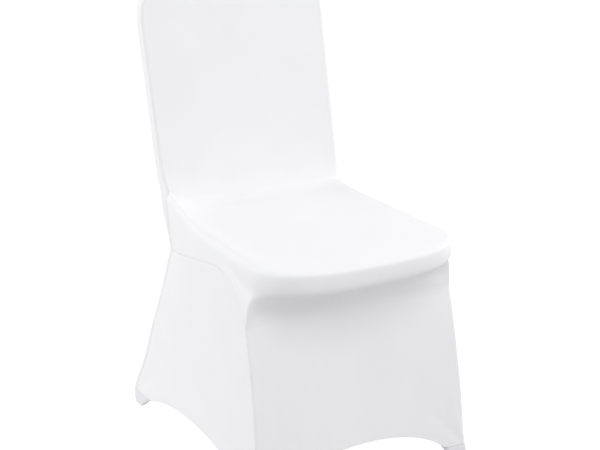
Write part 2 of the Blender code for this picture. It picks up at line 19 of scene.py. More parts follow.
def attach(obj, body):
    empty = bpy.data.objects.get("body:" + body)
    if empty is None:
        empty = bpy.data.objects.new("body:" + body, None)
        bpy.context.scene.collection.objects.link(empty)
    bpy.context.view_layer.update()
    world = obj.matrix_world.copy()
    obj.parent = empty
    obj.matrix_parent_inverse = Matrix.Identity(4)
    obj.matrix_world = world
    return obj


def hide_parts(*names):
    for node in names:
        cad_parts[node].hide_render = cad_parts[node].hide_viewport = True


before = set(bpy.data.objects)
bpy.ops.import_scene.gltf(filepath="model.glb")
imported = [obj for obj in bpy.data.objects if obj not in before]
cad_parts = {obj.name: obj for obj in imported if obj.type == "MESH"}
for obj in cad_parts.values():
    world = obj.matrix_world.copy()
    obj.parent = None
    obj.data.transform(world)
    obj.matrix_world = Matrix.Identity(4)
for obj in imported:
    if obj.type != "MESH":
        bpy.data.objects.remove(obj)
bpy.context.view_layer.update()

bl_info = {
    "name": "Stretch Chair Cover",
    "version": (1, 0, 0),
    "blender": (4, 5, 0),
    "location": "3D View > Sidebar > Chair Cover",
    "description": "Makes a stretch chair cover's panels, foot pockets and stitches, and a pale studio",
    "category": "Object",
}

# Cloth
SEAM_GAP = 0.0004
WELD = 1e-5
FINER = 2

# Seat
SEAT_HEIGHT = 0.4545
SEAT_CROWN = 0.003
SEAT_HALF_WIDTH = 0.212
SEAT_FRONT = -0.300
SEAT_REAR = 0.165
REAR_HALF_WIDTH = 0.198
CORNER_START = -0.165
CORNER_ROUNDNESS = 2.8
CORNER_STATION = 0.84
LIP_HEIGHT = 0.047
LIP_ABOVE_SEAM = 0.002
LIP_TUCK = 0.009
LIP_FADES_BY = 0.35
LIP_FRONT_LEAN = (0.15, 0.15, 0.65)
FADED_LIP_SHARE = 0.20
EDGE_DROP_FRONT = 0.007
EDGE_DROP_SIDE = 0.011
EDGE_DROP_LENGTH = 0.16
SEAT_LIFT_LENGTH = 0.150

# Backrest
BACK_TOP = 0.905
BACK_LEAN = 0.2315
BACK_HALF_WIDTH = 0.201
BACK_DEPTH = 0.033
BACK_BULGE = 0.0015
BACK_CORNER_START = 0.800
BACK_CORNER_ROUNDNESS = 3.0
BACK_CORNER_STATION = 0.80
JUNCTION_RADIUS = 0.046
JUNCTION_RADIUS_EDGE = 0.050
SEAT_TURN = 0.62
BACK_TURN_LENGTH = 0.042
BACK_TURN_LENGTH_EDGE = 0.060
PINCH_LENGTH = 0.06
WAIST_FILLS_BY = 1.3

# Skirt
POCKET_HEIGHT = 0.032
SKIRT_DRAWN_IN = 0.004
LEG_STRIP_BULGE = 0.0006

# How finely the cloth is divided
FRONT_COLUMNS = 15
SIDE_COLUMNS = 21
POCKET_COLUMNS = 3
SKIRT_ROWS = 12
BACK_ROWS = 27
WALL_ROWS = 7
LOOP_BY_SEAM = 0.45
LOOP_BY_HEM = 0.12
ROWS_BUNCHED = 0.75
CURVE_POINTS = 200
ARC_POINTS = 400

Leg = namedtuple("Leg", "z x y")
RearLeg = namedtuple("RearLeg", "z x y depth")
Seam = namedtuple("Seam", "y x z")
Middle = namedtuple("Middle", "z y")
Arch = namedtuple("Arch", "middle half height power fullness")
Ring = namedtuple("Ring", "z size")
Half = namedtuple("Half", "name mirror lift lip_at_corner")
Edge = namedtuple("Edge", "y left right left_up")
UnderRow = namedtuple("UnderRow", "share inward down")

# The two halves differ. On the left the seat's side is pulled softly up to the backrest and the lip fades early; on
# the right it stays low and the lip is full as far as the corner.
HALVES = (
    Half(name="right", mirror=1, lift=0.010, lip_at_corner=1.0),
    Half(name="left", mirror=-1, lift=0.040, lip_at_corner=0.45),
)

# The seat's rounded edge along the seat: how far it reaches in on each side, and how far it stands up on the left.
EDGES = (
    Edge(y=-0.300, left=0.006, right=0.006, left_up=0.000),
    Edge(y=-0.260, left=0.008, right=0.006, left_up=0.001),
    Edge(y=-0.200, left=0.015, right=0.008, left_up=0.005),
    Edge(y=-0.085, left=0.022, right=0.012, left_up=0.008),
    Edge(y=0.013, left=0.024, right=0.014, left_up=0.009),
    Edge(y=0.100, left=0.026, right=0.014, left_up=0.006),
    Edge(y=0.165, left=0.028, right=0.014, left_up=0.000),
)

# The crease over each front leg, from the floor to where the arc seam leaves it below the lip.
FRONT_LEG = (
    Leg(z=0.000, x=0.2290, y=-0.268),
    Leg(z=0.124, x=0.2270, y=-0.251),
    Leg(z=0.216, x=0.2240, y=-0.236),
    Leg(z=0.288, x=0.2225, y=-0.221),
    Leg(z=0.340, x=0.2210, y=-0.206),
)

# The seam over each rear leg, and the depth of the rounded strip behind it.
REAR_LEG = (
    RearLeg(z=0.000, x=0.2225, y=0.283, depth=0.010),
    RearLeg(z=0.032, x=0.2220, y=0.286, depth=0.010),
    RearLeg(z=0.100, x=0.2140, y=0.257, depth=0.010),
    RearLeg(z=0.200, x=0.2060, y=0.220, depth=0.010),
    RearLeg(z=0.300, x=0.1980, y=0.181, depth=0.011),
    RearLeg(z=0.374, x=0.1920, y=0.155, depth=0.013),
)

# The arc seam across each side, from the front leg to the waist.
SIDE_ARC = (
    Seam(y=-0.206, x=0.2210, z=0.340),
    Seam(y=-0.175, x=0.2190, z=0.386),
    Seam(y=-0.145, x=0.2175, z=0.404),
    Seam(y=-0.106, x=0.2160, z=0.418),
    Seam(y=-0.066, x=0.2150, z=0.418),
    Seam(y=-0.016, x=0.2140, z=0.409),
    Seam(y=0.049, x=0.2110, z=0.396),
    Seam(y=0.107, x=0.2040, z=0.384),
    Seam(y=0.155, x=0.1920, z=0.374),
)

# The middle of the front skirt, from the floor to its top edge below the lip.
FRONT_MIDDLE = (
    Middle(z=0.000, y=-0.2640),
    Middle(z=0.084, y=-0.2545),
    Middle(z=0.124, y=-0.2460),
    Middle(z=0.216, y=-0.2260),
    Middle(z=0.288, y=-0.2120),
    Middle(z=0.345, y=-0.2060),
)

# The rows of cloth below the lip, from the lip's lower edge: the share of the wall where the lip has faded, and how far
# inward and down each row lies where the lip is full.
UNDER_LIP = (
    UnderRow(share=0.38, inward=0.00, down=0.00),
    UnderRow(share=0.52, inward=0.50, down=0.07),
    UnderRow(share=0.68, inward=0.86, down=0.22),
    UnderRow(share=0.84, inward=0.97, down=0.55),
    UnderRow(share=1.00, inward=1.00, down=1.00),
)

# The hem's arches: along y on the sides, along x at the front and the back.
SIDE_HEM = Arch(middle=0.012, half=0.250, height=0.067, power=2.4, fullness=0.8)
END_HEM = Arch(middle=0.0, half=0.195, height=0.084, power=2.1, fullness=0.5)

# A foot pocket from its rim down to its sole, each ring's size against the rim's.
POCKET_RINGS = (
    Ring(z=POCKET_HEIGHT - SEAM_GAP / 2, size=1.00),
    Ring(z=0.020, size=1.03),
    Ring(z=0.010, size=1.05),
    Ring(z=0.004, size=1.02),
    Ring(z=0.000, size=0.90),
)


def smooth(table, key, name, at):
    """A column of a table, read along another of its columns as one smooth curve."""
    places = np.array([getattr(row, key) for row in table])
    values = np.array([getattr(row, name) for row in table])
    slopes = np.gradient(values, places)
    left = np.clip(np.searchsorted(places, at, side="right") - 1, 0, len(places) - 2)
    step = places[left + 1] - places[left]
    t = (np.asarray(at, float) - places[left]) / step
    rise = (values[left + 1] - values[left]) * t * t * (3 - 2 * t)
    return values[left] + rise + step * t * (1 - t) * ((1 - t) * slopes[left] - t * slopes[left + 1])


def points_of(x, y, z):
    return np.stack(np.broadcast_arrays(x, y, z), axis=-1).astype(float)


def blend(a, b, share):
    """a where share is 0 and b where it is 1. A list of shares goes with a list of points."""
    share = np.asarray(share, float)
    extra = max(np.ndim(a), np.ndim(b)) - share.ndim
    if share.ndim and extra > 0:
        share = share.reshape(share.shape + (1,) * extra)
    return a * (1 - share) + b * share


def ease(share):
    share = np.clip(share, 0, 1)
    return share * share * (3 - 2 * share)


def respaced(line, shares):
    """Points of a line at the given shares of its length."""
    steps = np.linalg.norm(np.diff(line, axis=0), axis=1)
    run = np.concatenate([[0], np.cumsum(steps)])
    return np.stack([np.interp(shares * run[-1], run, values) for values in line.T], axis=-1)


def patch(first, last, start, end, across, down):
    """A surface between four border lines: first and last run along its rows, start and end down its columns."""
    across, down = across[None, :, None], down[:, None, None]
    rows = first[None] * (1 - down) + last[None] * down
    columns = start[:, None] * (1 - across) + end[:, None] * across
    top_corners = (first[0] * (1 - across) + first[-1] * across) * (1 - down)
    bottom_corners = (last[0] * (1 - across) + last[-1] * across) * down
    return rows + columns - top_corners - bottom_corners


def drawn_in(surface, offset, across, down):
    """The surface moved by offset at its middle and by nothing at its borders."""
    return surface + np.sin(pi * down)[:, None, None] * np.sin(pi * across)[None, :, None] * np.array(offset)


def with_loops(values, first=0, last=0):
    """The values with one more near the first, the last or both, so that the cloth has a tight loop beside a seam."""
    parts = [values]
    if first:
        parts = [values[:1], values[:1] + (values[1:2] - values[:1]) * first, values[1:]]
    if last:
        parts[-1] = np.concatenate([parts[-1][:-1], values[-1:] + (values[-2:-1] - values[-1:]) * last, values[-1:]])
    return np.concatenate(parts)


# Where the rows and columns stand. Those of the seat's side are closer where the seat turns up into the backrest, and
# those of the backrest are closer at the seat and at the top corners.
FRONT_SHARES = with_loops(np.linspace(0, 1, FRONT_COLUMNS + 1), last=LOOP_BY_SEAM)
SIDE_STEPS = with_loops(np.linspace(0, 1, SIDE_COLUMNS + 1), first=LOOP_BY_SEAM, last=LOOP_BY_SEAM)
SIDE_TURN = (0.93, 0.968, 1.0)
SIDE_SPREAD = np.concatenate([np.linspace(0, SIDE_TURN[0], SIDE_COLUMNS - 1), SIDE_TURN[1:]])
SIDE_SHARES = with_loops(SIDE_SPREAD, first=LOOP_BY_SEAM, last=LOOP_BY_SEAM)
SKIRT_SHARES = with_loops(np.linspace(0, 1, SKIRT_ROWS + 1), first=LOOP_BY_HEM, last=LOOP_BY_HEM)
WALL_STEPS = with_loops(np.linspace(0, 1, WALL_ROWS + 1), last=LOOP_BY_SEAM)
BACK_STEPS = with_loops(np.linspace(0, 1, BACK_ROWS + 1), last=LOOP_BY_SEAM)
EVEN = np.linspace(0, 1, BACK_ROWS + 1)
BACK_SHARES = with_loops(EVEN - ROWS_BUNCHED * np.sin(2 * pi * EVEN) / (2 * pi), last=LOOP_BY_SEAM)


def seat_half_width(y):
    return blend(SEAT_HALF_WIDTH, REAR_HALF_WIDTH, ease((y - CORNER_START) / (SEAT_REAR - CORNER_START)) ** 2)


def seat_outline():
    """The seat's outline from above: its front, from the middle to the corner station, and its side from there."""
    turn = np.linspace(0, pi / 2, CURVE_POINTS)
    power = 2 / CORNER_ROUNDNESS
    front_x = SEAT_HALF_WIDTH * np.sin(turn) ** power
    front_y = CORNER_START + (SEAT_FRONT - CORNER_START) * np.cos(turn) ** power
    side_y = np.linspace(CORNER_START, SEAT_REAR, CURVE_POINTS)[1:]
    x = np.append(front_x, seat_half_width(side_y))
    outline = np.stack([x, np.append(front_y, side_y)], axis=-1)
    corner = int(len(turn) * CORNER_STATION)
    return outline[: corner + 1], outline[corner:]


def edge_inset(y, half):
    return smooth(EDGES, "y", half.name, np.clip(y, SEAT_FRONT, SEAT_REAR))


def edge_depth(y):
    return blend(EDGE_DROP_FRONT, EDGE_DROP_SIDE, ease((y - SEAT_FRONT) / EDGE_DROP_LENGTH))


def side_lift(x, y, half):
    """How far the seat's side rises where it is pulled up towards the backrest, and where its edge stands up."""
    share = np.clip(1 - (SEAT_REAR - y) / SEAT_LIFT_LENGTH, 0, 1)
    outward = np.clip(np.abs(x) / REAR_HALF_WIDTH, 0, 1)
    upright = smooth(EDGES, "y", "left_up", np.clip(y, SEAT_FRONT, SEAT_REAR)) if half.name == "left" else 0
    return half.lift * share**1.5 * outward**4 + upright * outward**8


def edge_drop(x, y, half):
    """How far the rounded edge of the seat has dropped below its top."""
    outline = np.concatenate(seat_outline())
    away = np.linalg.norm(points_of(x, y, 0)[..., None, :2] - outline, axis=-1).min(axis=-1)
    inside = np.clip(1 - away / edge_inset(y, half), 0, 1)
    return edge_depth(y) * (1 - np.sqrt(1 - inside**2))


def rounded_edge(turn, half):
    """The seat's rounded edge at an angle of turn: 0 where it leaves the top, 90 degrees where it meets the side.

    Gives the line along the front, the line along the side, and the directions that point out of the seat.
    """
    front, side = seat_outline()
    front, side = respaced(front, FRONT_SHARES), respaced(side, SIDE_SHARES)
    outline = np.concatenate([front, side[1:]])
    along = np.gradient(outline, axis=0)
    out = np.stack([along[:, 1], -along[:, 0]], axis=-1)
    out /= np.linalg.norm(out, axis=1, keepdims=True)
    out[0] = (0, -1)
    out[-1] = (1, 0)
    x, y = outline.T
    plan = outline - out * (edge_inset(y, half) * (1 - sin(turn)))[:, None]
    height = SEAT_HEIGHT - edge_depth(y) * (1 - cos(turn)) + side_lift(x, y, half)
    edge = points_of(plan[:, 0], plan[:, 1], height)
    out = points_of(out[:, 0], out[:, 1], 0)
    corner = len(front) - 1
    return edge[: corner + 1], edge[corner:], out[: corner + 1], out[corner:]


def under_lip():
    """The top edge of the front skirt, below the lip, from the middle to the front leg."""
    share = FRONT_SHARES
    middle, corner = FRONT_MIDDLE[-1], FRONT_LEG[-1]
    y = blend(middle.y, corner.y, share**3)
    return points_of(corner.x * share, y, blend(middle.z, corner.z, share**3))


def arc_seam():
    y = np.linspace(SIDE_ARC[0].y, SIDE_ARC[-1].y, ARC_POINTS)
    line = points_of(smooth(SIDE_ARC, "y", "x", y), y, smooth(SIDE_ARC, "y", "z", y))
    return respaced(line, SIDE_SHARES)


def wall(top, side, out, foot, lip):
    """The cloth from the seat's rounded edge down to a line. lip is 1 under a full lip and 0 where it has faded."""
    bottom = side - out * LIP_TUCK
    bottom[:, 2] = np.maximum(SEAT_HEIGHT - LIP_HEIGHT, foot[:, 2] + LIP_ABOVE_SEAM)
    full = side + (bottom - side) * LIP_FRONT_LEAN
    rows = [top, side, blend(blend(side, foot, FADED_LIP_SHARE), full, lip)]
    for row in UNDER_LIP:
        curved = blend(bottom, foot, np.full((1, 3), row.inward))
        curved[:, 2] = blend(bottom[:, 2], foot[:, 2], row.down)
        rows.append(blend(blend(side, foot, row.share), curved, lip))
    rows.insert(-1, blend(rows[-1], rows[-2], LOOP_BY_SEAM))
    return np.array(rows)


def junction(side_end, half):
    """Where the seat turns up into the backrest, halfway round the turn, from the middle to the side."""
    shares = FRONT_SHARES**0.8
    half_opening = (pi / 2 + atan(BACK_LEAN)) / 2
    radius = blend(JUNCTION_RADIUS, JUNCTION_RADIUS_EDGE, shares**3)
    reach = radius * (1 / sin(half_opening) - 1)
    x = side_end[0] * shares
    y = blend(SEAT_REAR - reach * cos(half_opening), side_end[1], shares**4)
    z = SEAT_HEIGHT + reach * sin(half_opening) * (1 - shares**6)
    return points_of(x, y, z + side_lift(x, y, half) - edge_drop(x, np.minimum(y, side_end[1]), half))


def seat_top(front_edge, side_edge, rear, half):
    """The top of the seat: rows from the front edge to the junction, columns from the middle to the side."""
    middle = blend(front_edge[:1], rear[:1], SIDE_SHARES[:, None])
    top = patch(front_edge, rear, middle, side_edge, FRONT_SHARES, SIDE_STEPS)
    x, y = top[..., 0], top[..., 1]
    turn_length = SEAT_TURN * blend(JUNCTION_RADIUS, JUNCTION_RADIUS_EDGE, FRONT_SHARES**3)
    turned = np.clip(1 - (rear[:, 1] - y) / turn_length, 0, 1)
    dropped = edge_drop(rear[:, 0], rear[:, 1], half) - side_lift(rear[:, 0], rear[:, 1], half)
    rise = rear[:, 2] - SEAT_HEIGHT + dropped
    crown = np.cos(pi / 2 * x / SEAT_HALF_WIDTH) * np.sin(pi * (y - SEAT_FRONT) / (SEAT_REAR - SEAT_FRONT))
    z = SEAT_HEIGHT + SEAT_CROWN * crown + rise * turned**2 + side_lift(x, y, half) - edge_drop(x, y, half)
    top[1:-1, :-1, 2] = z[1:-1, :-1]
    return top


def back_plane(z):
    return SEAT_REAR + (z - SEAT_HEIGHT) * BACK_LEAN


def back_side(z):
    """The backrest's half width at a height, with its rounded top corner."""
    share = np.clip((z - BACK_CORNER_START) / (BACK_TOP - BACK_CORNER_START), 0, 1)
    rounding = (1 - share**BACK_CORNER_ROUNDNESS) ** (1 / BACK_CORNER_ROUNDNESS)
    taper = blend(REAR_HALF_WIDTH, BACK_HALF_WIDTH, (z - SEAT_HEIGHT) / (BACK_CORNER_START - SEAT_HEIGHT))
    return taper * rounding


def back_face(bottom):
    """The front of the backrest: rows from the junction to the top, columns from the middle to the side."""
    corner_z = blend(BACK_CORNER_START, BACK_TOP, BACK_CORNER_STATION)
    side_z = blend(bottom[-1, 2], corner_z, BACK_SHARES)
    pinch = back_side(bottom[-1, 2]) - bottom[-1, 0]
    pinch = pinch * np.clip(1 - (side_z - bottom[-1, 2]) / PINCH_LENGTH, 0, 1) ** 2
    side = points_of(back_side(side_z) - pinch, 0.0, side_z)
    arc_z = blend(corner_z, BACK_TOP, 1 - (1 - np.linspace(0, 1, CURVE_POINTS)) ** 2)
    arc = respaced(np.stack([back_side(arc_z), arc_z], axis=-1), 1 - FRONT_SHARES)
    top = points_of(arc[:, 0], 0.0, arc[:, 1])
    middle = points_of(0.0, 0.0, blend(bottom[0, 2], BACK_TOP, BACK_SHARES))
    face = patch(bottom * (1, 0, 1), top, middle, side, FRONT_SHARES, BACK_STEPS)
    inset = back_plane(bottom[:, 2]) - bottom[:, 1]
    length = blend(BACK_TURN_LENGTH, BACK_TURN_LENGTH_EDGE, FRONT_SHARES**3)
    fading = np.clip(1 - (face[..., 2] - bottom[:, 2]) / length, 0, 1) ** 2
    face[..., 1] = back_plane(face[..., 2]) - inset * fading
    return face


# The way straight out to the side, and the way straight back.
OUTWARD = np.array([1.0, 0, 0])
REARWARD = np.array([0, 1.0, 0])

# Across a strip: how far back its two full rows lie, how full the second is, and how far its border turns in.
STRIP_FIRST = 0.30
STRIP_SECOND = 0.72
STRIP_SECOND_FULL = 0.8
STRIP_TURNS_IN = 0.20


def strip(seam, side, outward, rearward, depth, bulge):
    """The rounded strip behind a seam. side is where the seam would run if nothing pinched it."""
    depth = np.asarray(depth)[:, None]
    first = side + outward * bulge + rearward * depth * STRIP_FIRST
    second = side + outward * bulge * STRIP_SECOND_FULL + rearward * depth * STRIP_SECOND
    last = side - outward * (STRIP_TURNS_IN * depth - bulge) + rearward * depth
    return np.stack([seam, blend(seam, first, LOOP_BY_SEAM), first, second, last], axis=1)


def back_strip(face):
    """The strip round the backrest, from the junction up its side and over its top to the middle."""
    seam = np.concatenate([face[:, -1], face[-1, ::-1][1:]])
    side = seam.copy()
    rows = len(face)
    side[:rows, 0] = back_side(side[:rows, 2])
    lean = atan(BACK_LEAN)
    rearward = np.array([0.0, cos(lean), -sin(lean)])
    side[:, 1] = back_plane(side[:, 2])
    outward = np.cross(rearward, np.gradient(side, axis=0))
    outward /= np.linalg.norm(outward, axis=1, keepdims=True)
    outward[-1] = (0.0, sin(lean), cos(lean))
    settle = np.clip((seam[:, 2] - seam[0, 2]) / PINCH_LENGTH, 0, 1)[:, None]
    side[:, 1:2] = blend(seam[:, 1:2], side[:, 1:2], settle)
    rearward = blend(np.array([[0.0, 1.0, 0.0]]), rearward[None], settle)
    return strip(seam, side, outward, rearward, np.full(len(seam), BACK_DEPTH), BACK_BULGE)


def arch_height(arch, place):
    share = np.clip(np.abs(place - arch.middle) / arch.half, 0, 1)
    return arch.height * (1 - share**arch.power) ** arch.fullness


def arch_reach(arch, height):
    """How far from its middle an arch comes down to a height."""
    return arch.half * (1 - (height / arch.height) ** (1 / arch.fullness)) ** (1 / arch.power)


def leg_x(table, z):
    return smooth(table, "z", "x", z)


def leg_y(table, z):
    return smooth(table, "z", "y", z)


def leg_line(table, z):
    return points_of(leg_x(table, z), leg_y(table, z), z)


def rear_strip(z):
    """The rounded strip down each rear leg at heights z, its seam first and the back panel's border last."""
    seam = leg_line(REAR_LEG, z)
    return strip(seam, seam, OUTWARD, REARWARD, smooth(REAR_LEG, "z", "depth", z), LEG_STRIP_BULGE)


def side_at(y, z):
    """A point of the side panel near the floor."""
    share = (y - leg_y(FRONT_LEG, z)) / (leg_y(REAR_LEG, z) - leg_y(FRONT_LEG, z))
    return points_of(blend(leg_x(FRONT_LEG, z), leg_x(REAR_LEG, z), share), y, z)


def front_at(x, z):
    """A point of the front skirt near the floor."""
    share = (x / leg_x(FRONT_LEG, z)) ** 2
    return points_of(x, blend(smooth(FRONT_MIDDLE, "z", "y", z), leg_y(FRONT_LEG, z), share), z)


def rear_at(x, z):
    """A point of the rear skirt near the floor."""
    edge = rear_strip(np.atleast_1d(z))[:, -1]
    share = (x / edge[:, 0]) ** 2
    y = edge[:, 1] - SKIRT_DRAWN_IN * (1 - share)
    return points_of(x, y if np.ndim(z) else y[0], z)


RIM = POCKET_HEIGHT + SEAM_GAP / 2


def hem_places(arch, start, end, columns, pockets):
    """Places along a hem: its arch between the pocket rims, and POCKET_COLUMNS along each rim."""
    reach = arch_reach(arch, RIM)
    low = arch.middle - reach if pockets == 2 else arch.middle
    high = arch.middle + reach
    parts = [np.linspace(low, high, columns - pockets * POCKET_COLUMNS + 1)]
    parts.append(np.linspace(high, end, POCKET_COLUMNS + 1)[1:])
    if pockets == 2:
        parts.insert(0, np.linspace(start, low, POCKET_COLUMNS + 1)[:-1])
    return with_loops(np.concatenate(parts), first=LOOP_BY_SEAM if pockets == 2 else 0, last=LOOP_BY_SEAM)


def hem_line(point_at, arch, places):
    return point_at(places, np.maximum(arch_height(arch, places), RIM))


def side_skirt():
    """A side panel: rows from the arc seam down to the hem, columns from the front leg to the rear seam."""
    first = arc_seam()
    start = leg_line(FRONT_LEG, blend(FRONT_LEG[-1].z, RIM, SKIRT_SHARES))
    end = leg_line(REAR_LEG, blend(REAR_LEG[-1].z, RIM, SKIRT_SHARES))
    places = hem_places(SIDE_HEM, leg_y(FRONT_LEG, RIM), leg_y(REAR_LEG, RIM), SIDE_COLUMNS, 2)
    hem = hem_line(side_at, SIDE_HEM, places)
    panel = patch(first, hem, start, end, SIDE_STEPS, SKIRT_SHARES)
    return drawn_in(panel, (-SKIRT_DRAWN_IN, 0, 0), SIDE_STEPS, SKIRT_SHARES)


def front_skirt(side_border):
    """The front skirt: rows from the line below the lip down to the hem, columns from the middle to the front leg."""
    middle_z = blend(FRONT_MIDDLE[-1].z, END_HEM.height, SKIRT_SHARES)
    middle = points_of(0.0, smooth(FRONT_MIDDLE, "z", "y", middle_z), middle_z)
    places = hem_places(END_HEM, 0.0, side_border[-1, 0], FRONT_COLUMNS, 1)
    hem = hem_line(front_at, END_HEM, places)
    return patch(under_lip(), hem, middle, side_border, FRONT_SHARES, SKIRT_SHARES)


def rear_skirt(leg_strip):
    """The rear skirt: rows from the waist down to the hem, columns from the middle to the strip over the rear leg."""
    side = leg_strip[:, -1]
    share = FRONT_SHARES
    waist = points_of(side[0, 0] * share, side[0, 1] - SKIRT_DRAWN_IN * (1 - share**2), side[0, 2])
    places = hem_places(END_HEM, 0.0, side[-1, 0], FRONT_COLUMNS, 1)
    hem = hem_line(rear_at, END_HEM, places)
    middle = blend(waist[:1], hem[:1], SKIRT_SHARES[:, None])
    return patch(waist, hem, middle, side, FRONT_SHARES, SKIRT_SHARES)


def half_cover(half):
    """The surfaces of one half as (panel, grid of points)."""
    front_top, side_top, front_out, side_out = rounded_edge(radians(45), half)
    front_side, side_side, front_out, side_out = rounded_edge(radians(90), half)
    front_lip = blend(1.0, half.lip_at_corner, ease(FRONT_SHARES * 2 - 1))
    side_lip = half.lip_at_corner * (1 - ease(SIDE_SHARES / LIP_FADES_BY))
    front_wall = wall(front_top, front_side, front_out, under_lip(), front_lip)
    side_wall = wall(side_top, side_side, side_out, arc_seam(), side_lip)
    front_wall[:, -1] = side_wall[:, 0]

    rear = junction(side_top[-1], half)
    rear[-1] = side_top[-1]
    face = back_face(rear)
    round_back = back_strip(face)
    rows = len(face)
    back_top = round_back[rows - 1 :, -1][::-1]
    back_edge = round_back[:rows, -1]

    seam = side_wall[:, -1]
    waist_up = (seam[:, 2] - seam[-1, 2]) / (seam[0, 2] - seam[-1, 2])
    side = seam.copy()
    side[:, 0] = blend(seam[-1, 0], back_side(seam[0, 2]), ease(waist_up * WAIST_FILLS_BY))
    depth = blend(REAR_LEG[-1].depth, BACK_DEPTH, ease(waist_up))
    bulge = blend(LEG_STRIP_BULGE, BACK_BULGE, waist_up)[:, None]
    waist_strip = strip(seam, side, OUTWARD, REARWARD, depth, bulge)
    waist_strip[0] = round_back[0]

    skirt = side_skirt()
    leg_z = blend(REAR_LEG[-1].z, RIM, SKIRT_SHARES)
    leg_strip = rear_strip(leg_z)
    waist_strip[-1] = leg_strip[0]
    rear_lower = rear_skirt(leg_strip)

    back_middle = np.array([0.0, SEAT_REAR + BACK_DEPTH, SEAT_HEIGHT])
    bottom_row = blend(back_middle[None], back_edge[:1], FRONT_SHARES[:, None] ** 2)
    bottom_row[:, 0] = back_edge[0, 0] * FRONT_SHARES
    middle_z = blend(back_middle[2], back_top[0, 2], BACK_SHARES)
    middle_y = blend(back_middle[1], back_top[0, 1], BACK_SHARES)
    back_middle_line = points_of(0.0, middle_y, middle_z)
    back = patch(bottom_row, back_top, back_middle_line, back_edge, FRONT_SHARES, BACK_STEPS)
    waist_middle = blend(bottom_row[:1], rear_lower[0, :1], WALL_STEPS[:, None])
    waist_middle[:, 1] = blend(bottom_row[0, 1], rear_lower[0, 0, 1], ease(WALL_STEPS))
    waist = patch(bottom_row, rear_lower[0], waist_middle, waist_strip[:, -1], FRONT_SHARES, WALL_STEPS)

    return (
        ("front_panel", seat_top(front_top, side_top, rear, half)),
        ("front_panel", front_wall),
        ("front_panel", side_wall),
        ("front_panel", face),
        ("front_panel", front_skirt(skirt[:, 0])),
        ("side_panel", skirt),
        ("back_panel", round_back),
        ("back_panel", waist_strip),
        ("back_panel", leg_strip),
        ("back_panel", back),
        ("back_panel", waist),
        ("back_panel", rear_lower),
    )


PANELS = ("front_panel", "back_panel", "side_panel_left", "side_panel_right")
POCKETS = (("front", "left"), ("front", "right"), ("rear", "left"), ("rear", "right"))

Fold = namedtuple("Fold", "side start middle end width height lean")
Cut = namedtuple("Cut", "width length area")

# Folds in the stretched cloth, with their places written for the right half. A height below 0 is a trough, and a lean
# below 1 puts the deepest place near the start, where the cloth is held.
FOLDS = (
    Fold("left", (0.199, 0.160, 0.470), (0.200, 0.120, 0.448), (0.203, 0.070, 0.436), 0.0080, -0.0010, 0.55),
    Fold("left", (0.199, 0.168, 0.505), (0.196, 0.163, 0.486), (0.192, 0.146, 0.472), 0.0065, -0.0045, 1.00),
    Fold("left", (0.192, 0.166, 0.486), (0.165, 0.176, 0.510), (0.110, 0.190, 0.560), 0.0170, -0.0012, 0.50),
    Fold("left", (0.190, 0.162, 0.482), (0.120, 0.160, 0.470), (0.020, 0.158, 0.466), 0.0110, -0.0009, 0.55),
    Fold("right", (0.198, 0.160, 0.455), (0.201, 0.120, 0.440), (0.208, 0.060, 0.425), 0.0080, -0.0012, 0.60),
    Fold("right", (0.190, 0.162, 0.460), (0.130, 0.160, 0.464), (0.060, 0.158, 0.466), 0.0110, -0.0006, 0.60),
    Fold("right", (0.140, -0.290, 0.424), (0.225, -0.290, 0.424), (0.214, -0.150, 0.430), 0.0170, 0.0060, 1.00),
    Fold("right", (0.100, -0.212, 0.378), (0.180, -0.212, 0.378), (0.216, -0.205, 0.376), 0.0110, -0.0130, 1.00),
    Fold("left", (0.168, -0.264, 0.446), (0.142, -0.281, 0.446), (0.104, -0.294, 0.447), 0.0028, -0.0007, 1.00),
    Fold("left", (0.215, -0.210, 0.360), (0.120, -0.208, 0.372), (-0.040, -0.206, 0.378), 0.0260, -0.0130, 0.80),
    Fold("right", (0.214, -0.214, 0.334), (0.140, -0.211, 0.330), (0.050, -0.206, 0.338), 0.0100, -0.0010, 0.60),
    Fold("both", (0.219, -0.262, 0.036), (0.185, -0.256, 0.078), (0.135, -0.246, 0.130), 0.0075, -0.0012, 0.50),
    Fold("both", (0.222, -0.262, 0.042), (0.203, -0.252, 0.110), (0.190, -0.242, 0.195), 0.0075, 0.0009, 0.50),
    Fold("both", (0.2275, -0.250, 0.036), (0.224, -0.200, 0.076), (0.221, -0.130, 0.112), 0.0075, -0.0012, 0.50),
    Fold("both", (0.2270, -0.248, 0.050), (0.223, -0.215, 0.115), (0.220, -0.170, 0.190), 0.0080, 0.0008, 0.50),
    Fold("both", (0.2215, 0.272, 0.036), (0.220, 0.225, 0.078), (0.219, 0.150, 0.112), 0.0075, -0.0012, 0.50),
    Fold("both", (0.2170, 0.262, 0.060), (0.212, 0.225, 0.130), (0.208, 0.185, 0.210), 0.0080, 0.0008, 0.50),
    Fold("both", (0.212, 0.292, 0.036), (0.180, 0.280, 0.084), (0.130, 0.262, 0.136), 0.0075, -0.0012, 0.50),
    Fold("both", (0.186, 0.168, 0.385), (0.120, 0.186, 0.430), (0.040, 0.204, 0.500), 0.0160, -0.0014, 0.55),
    Fold("both", (0.188, 0.176, 0.360), (0.130, 0.192, 0.330), (0.060, 0.202, 0.290), 0.0150, -0.0012, 0.55),
)

# A fold grows wider along its line, from one share of its width to another, and is left out past some widths from it.
FOLD_POINTS = 60
FOLD_WIDTH_START = 0.6
FOLD_WIDTH_GROWS = 0.8
FOLD_REACH = 3

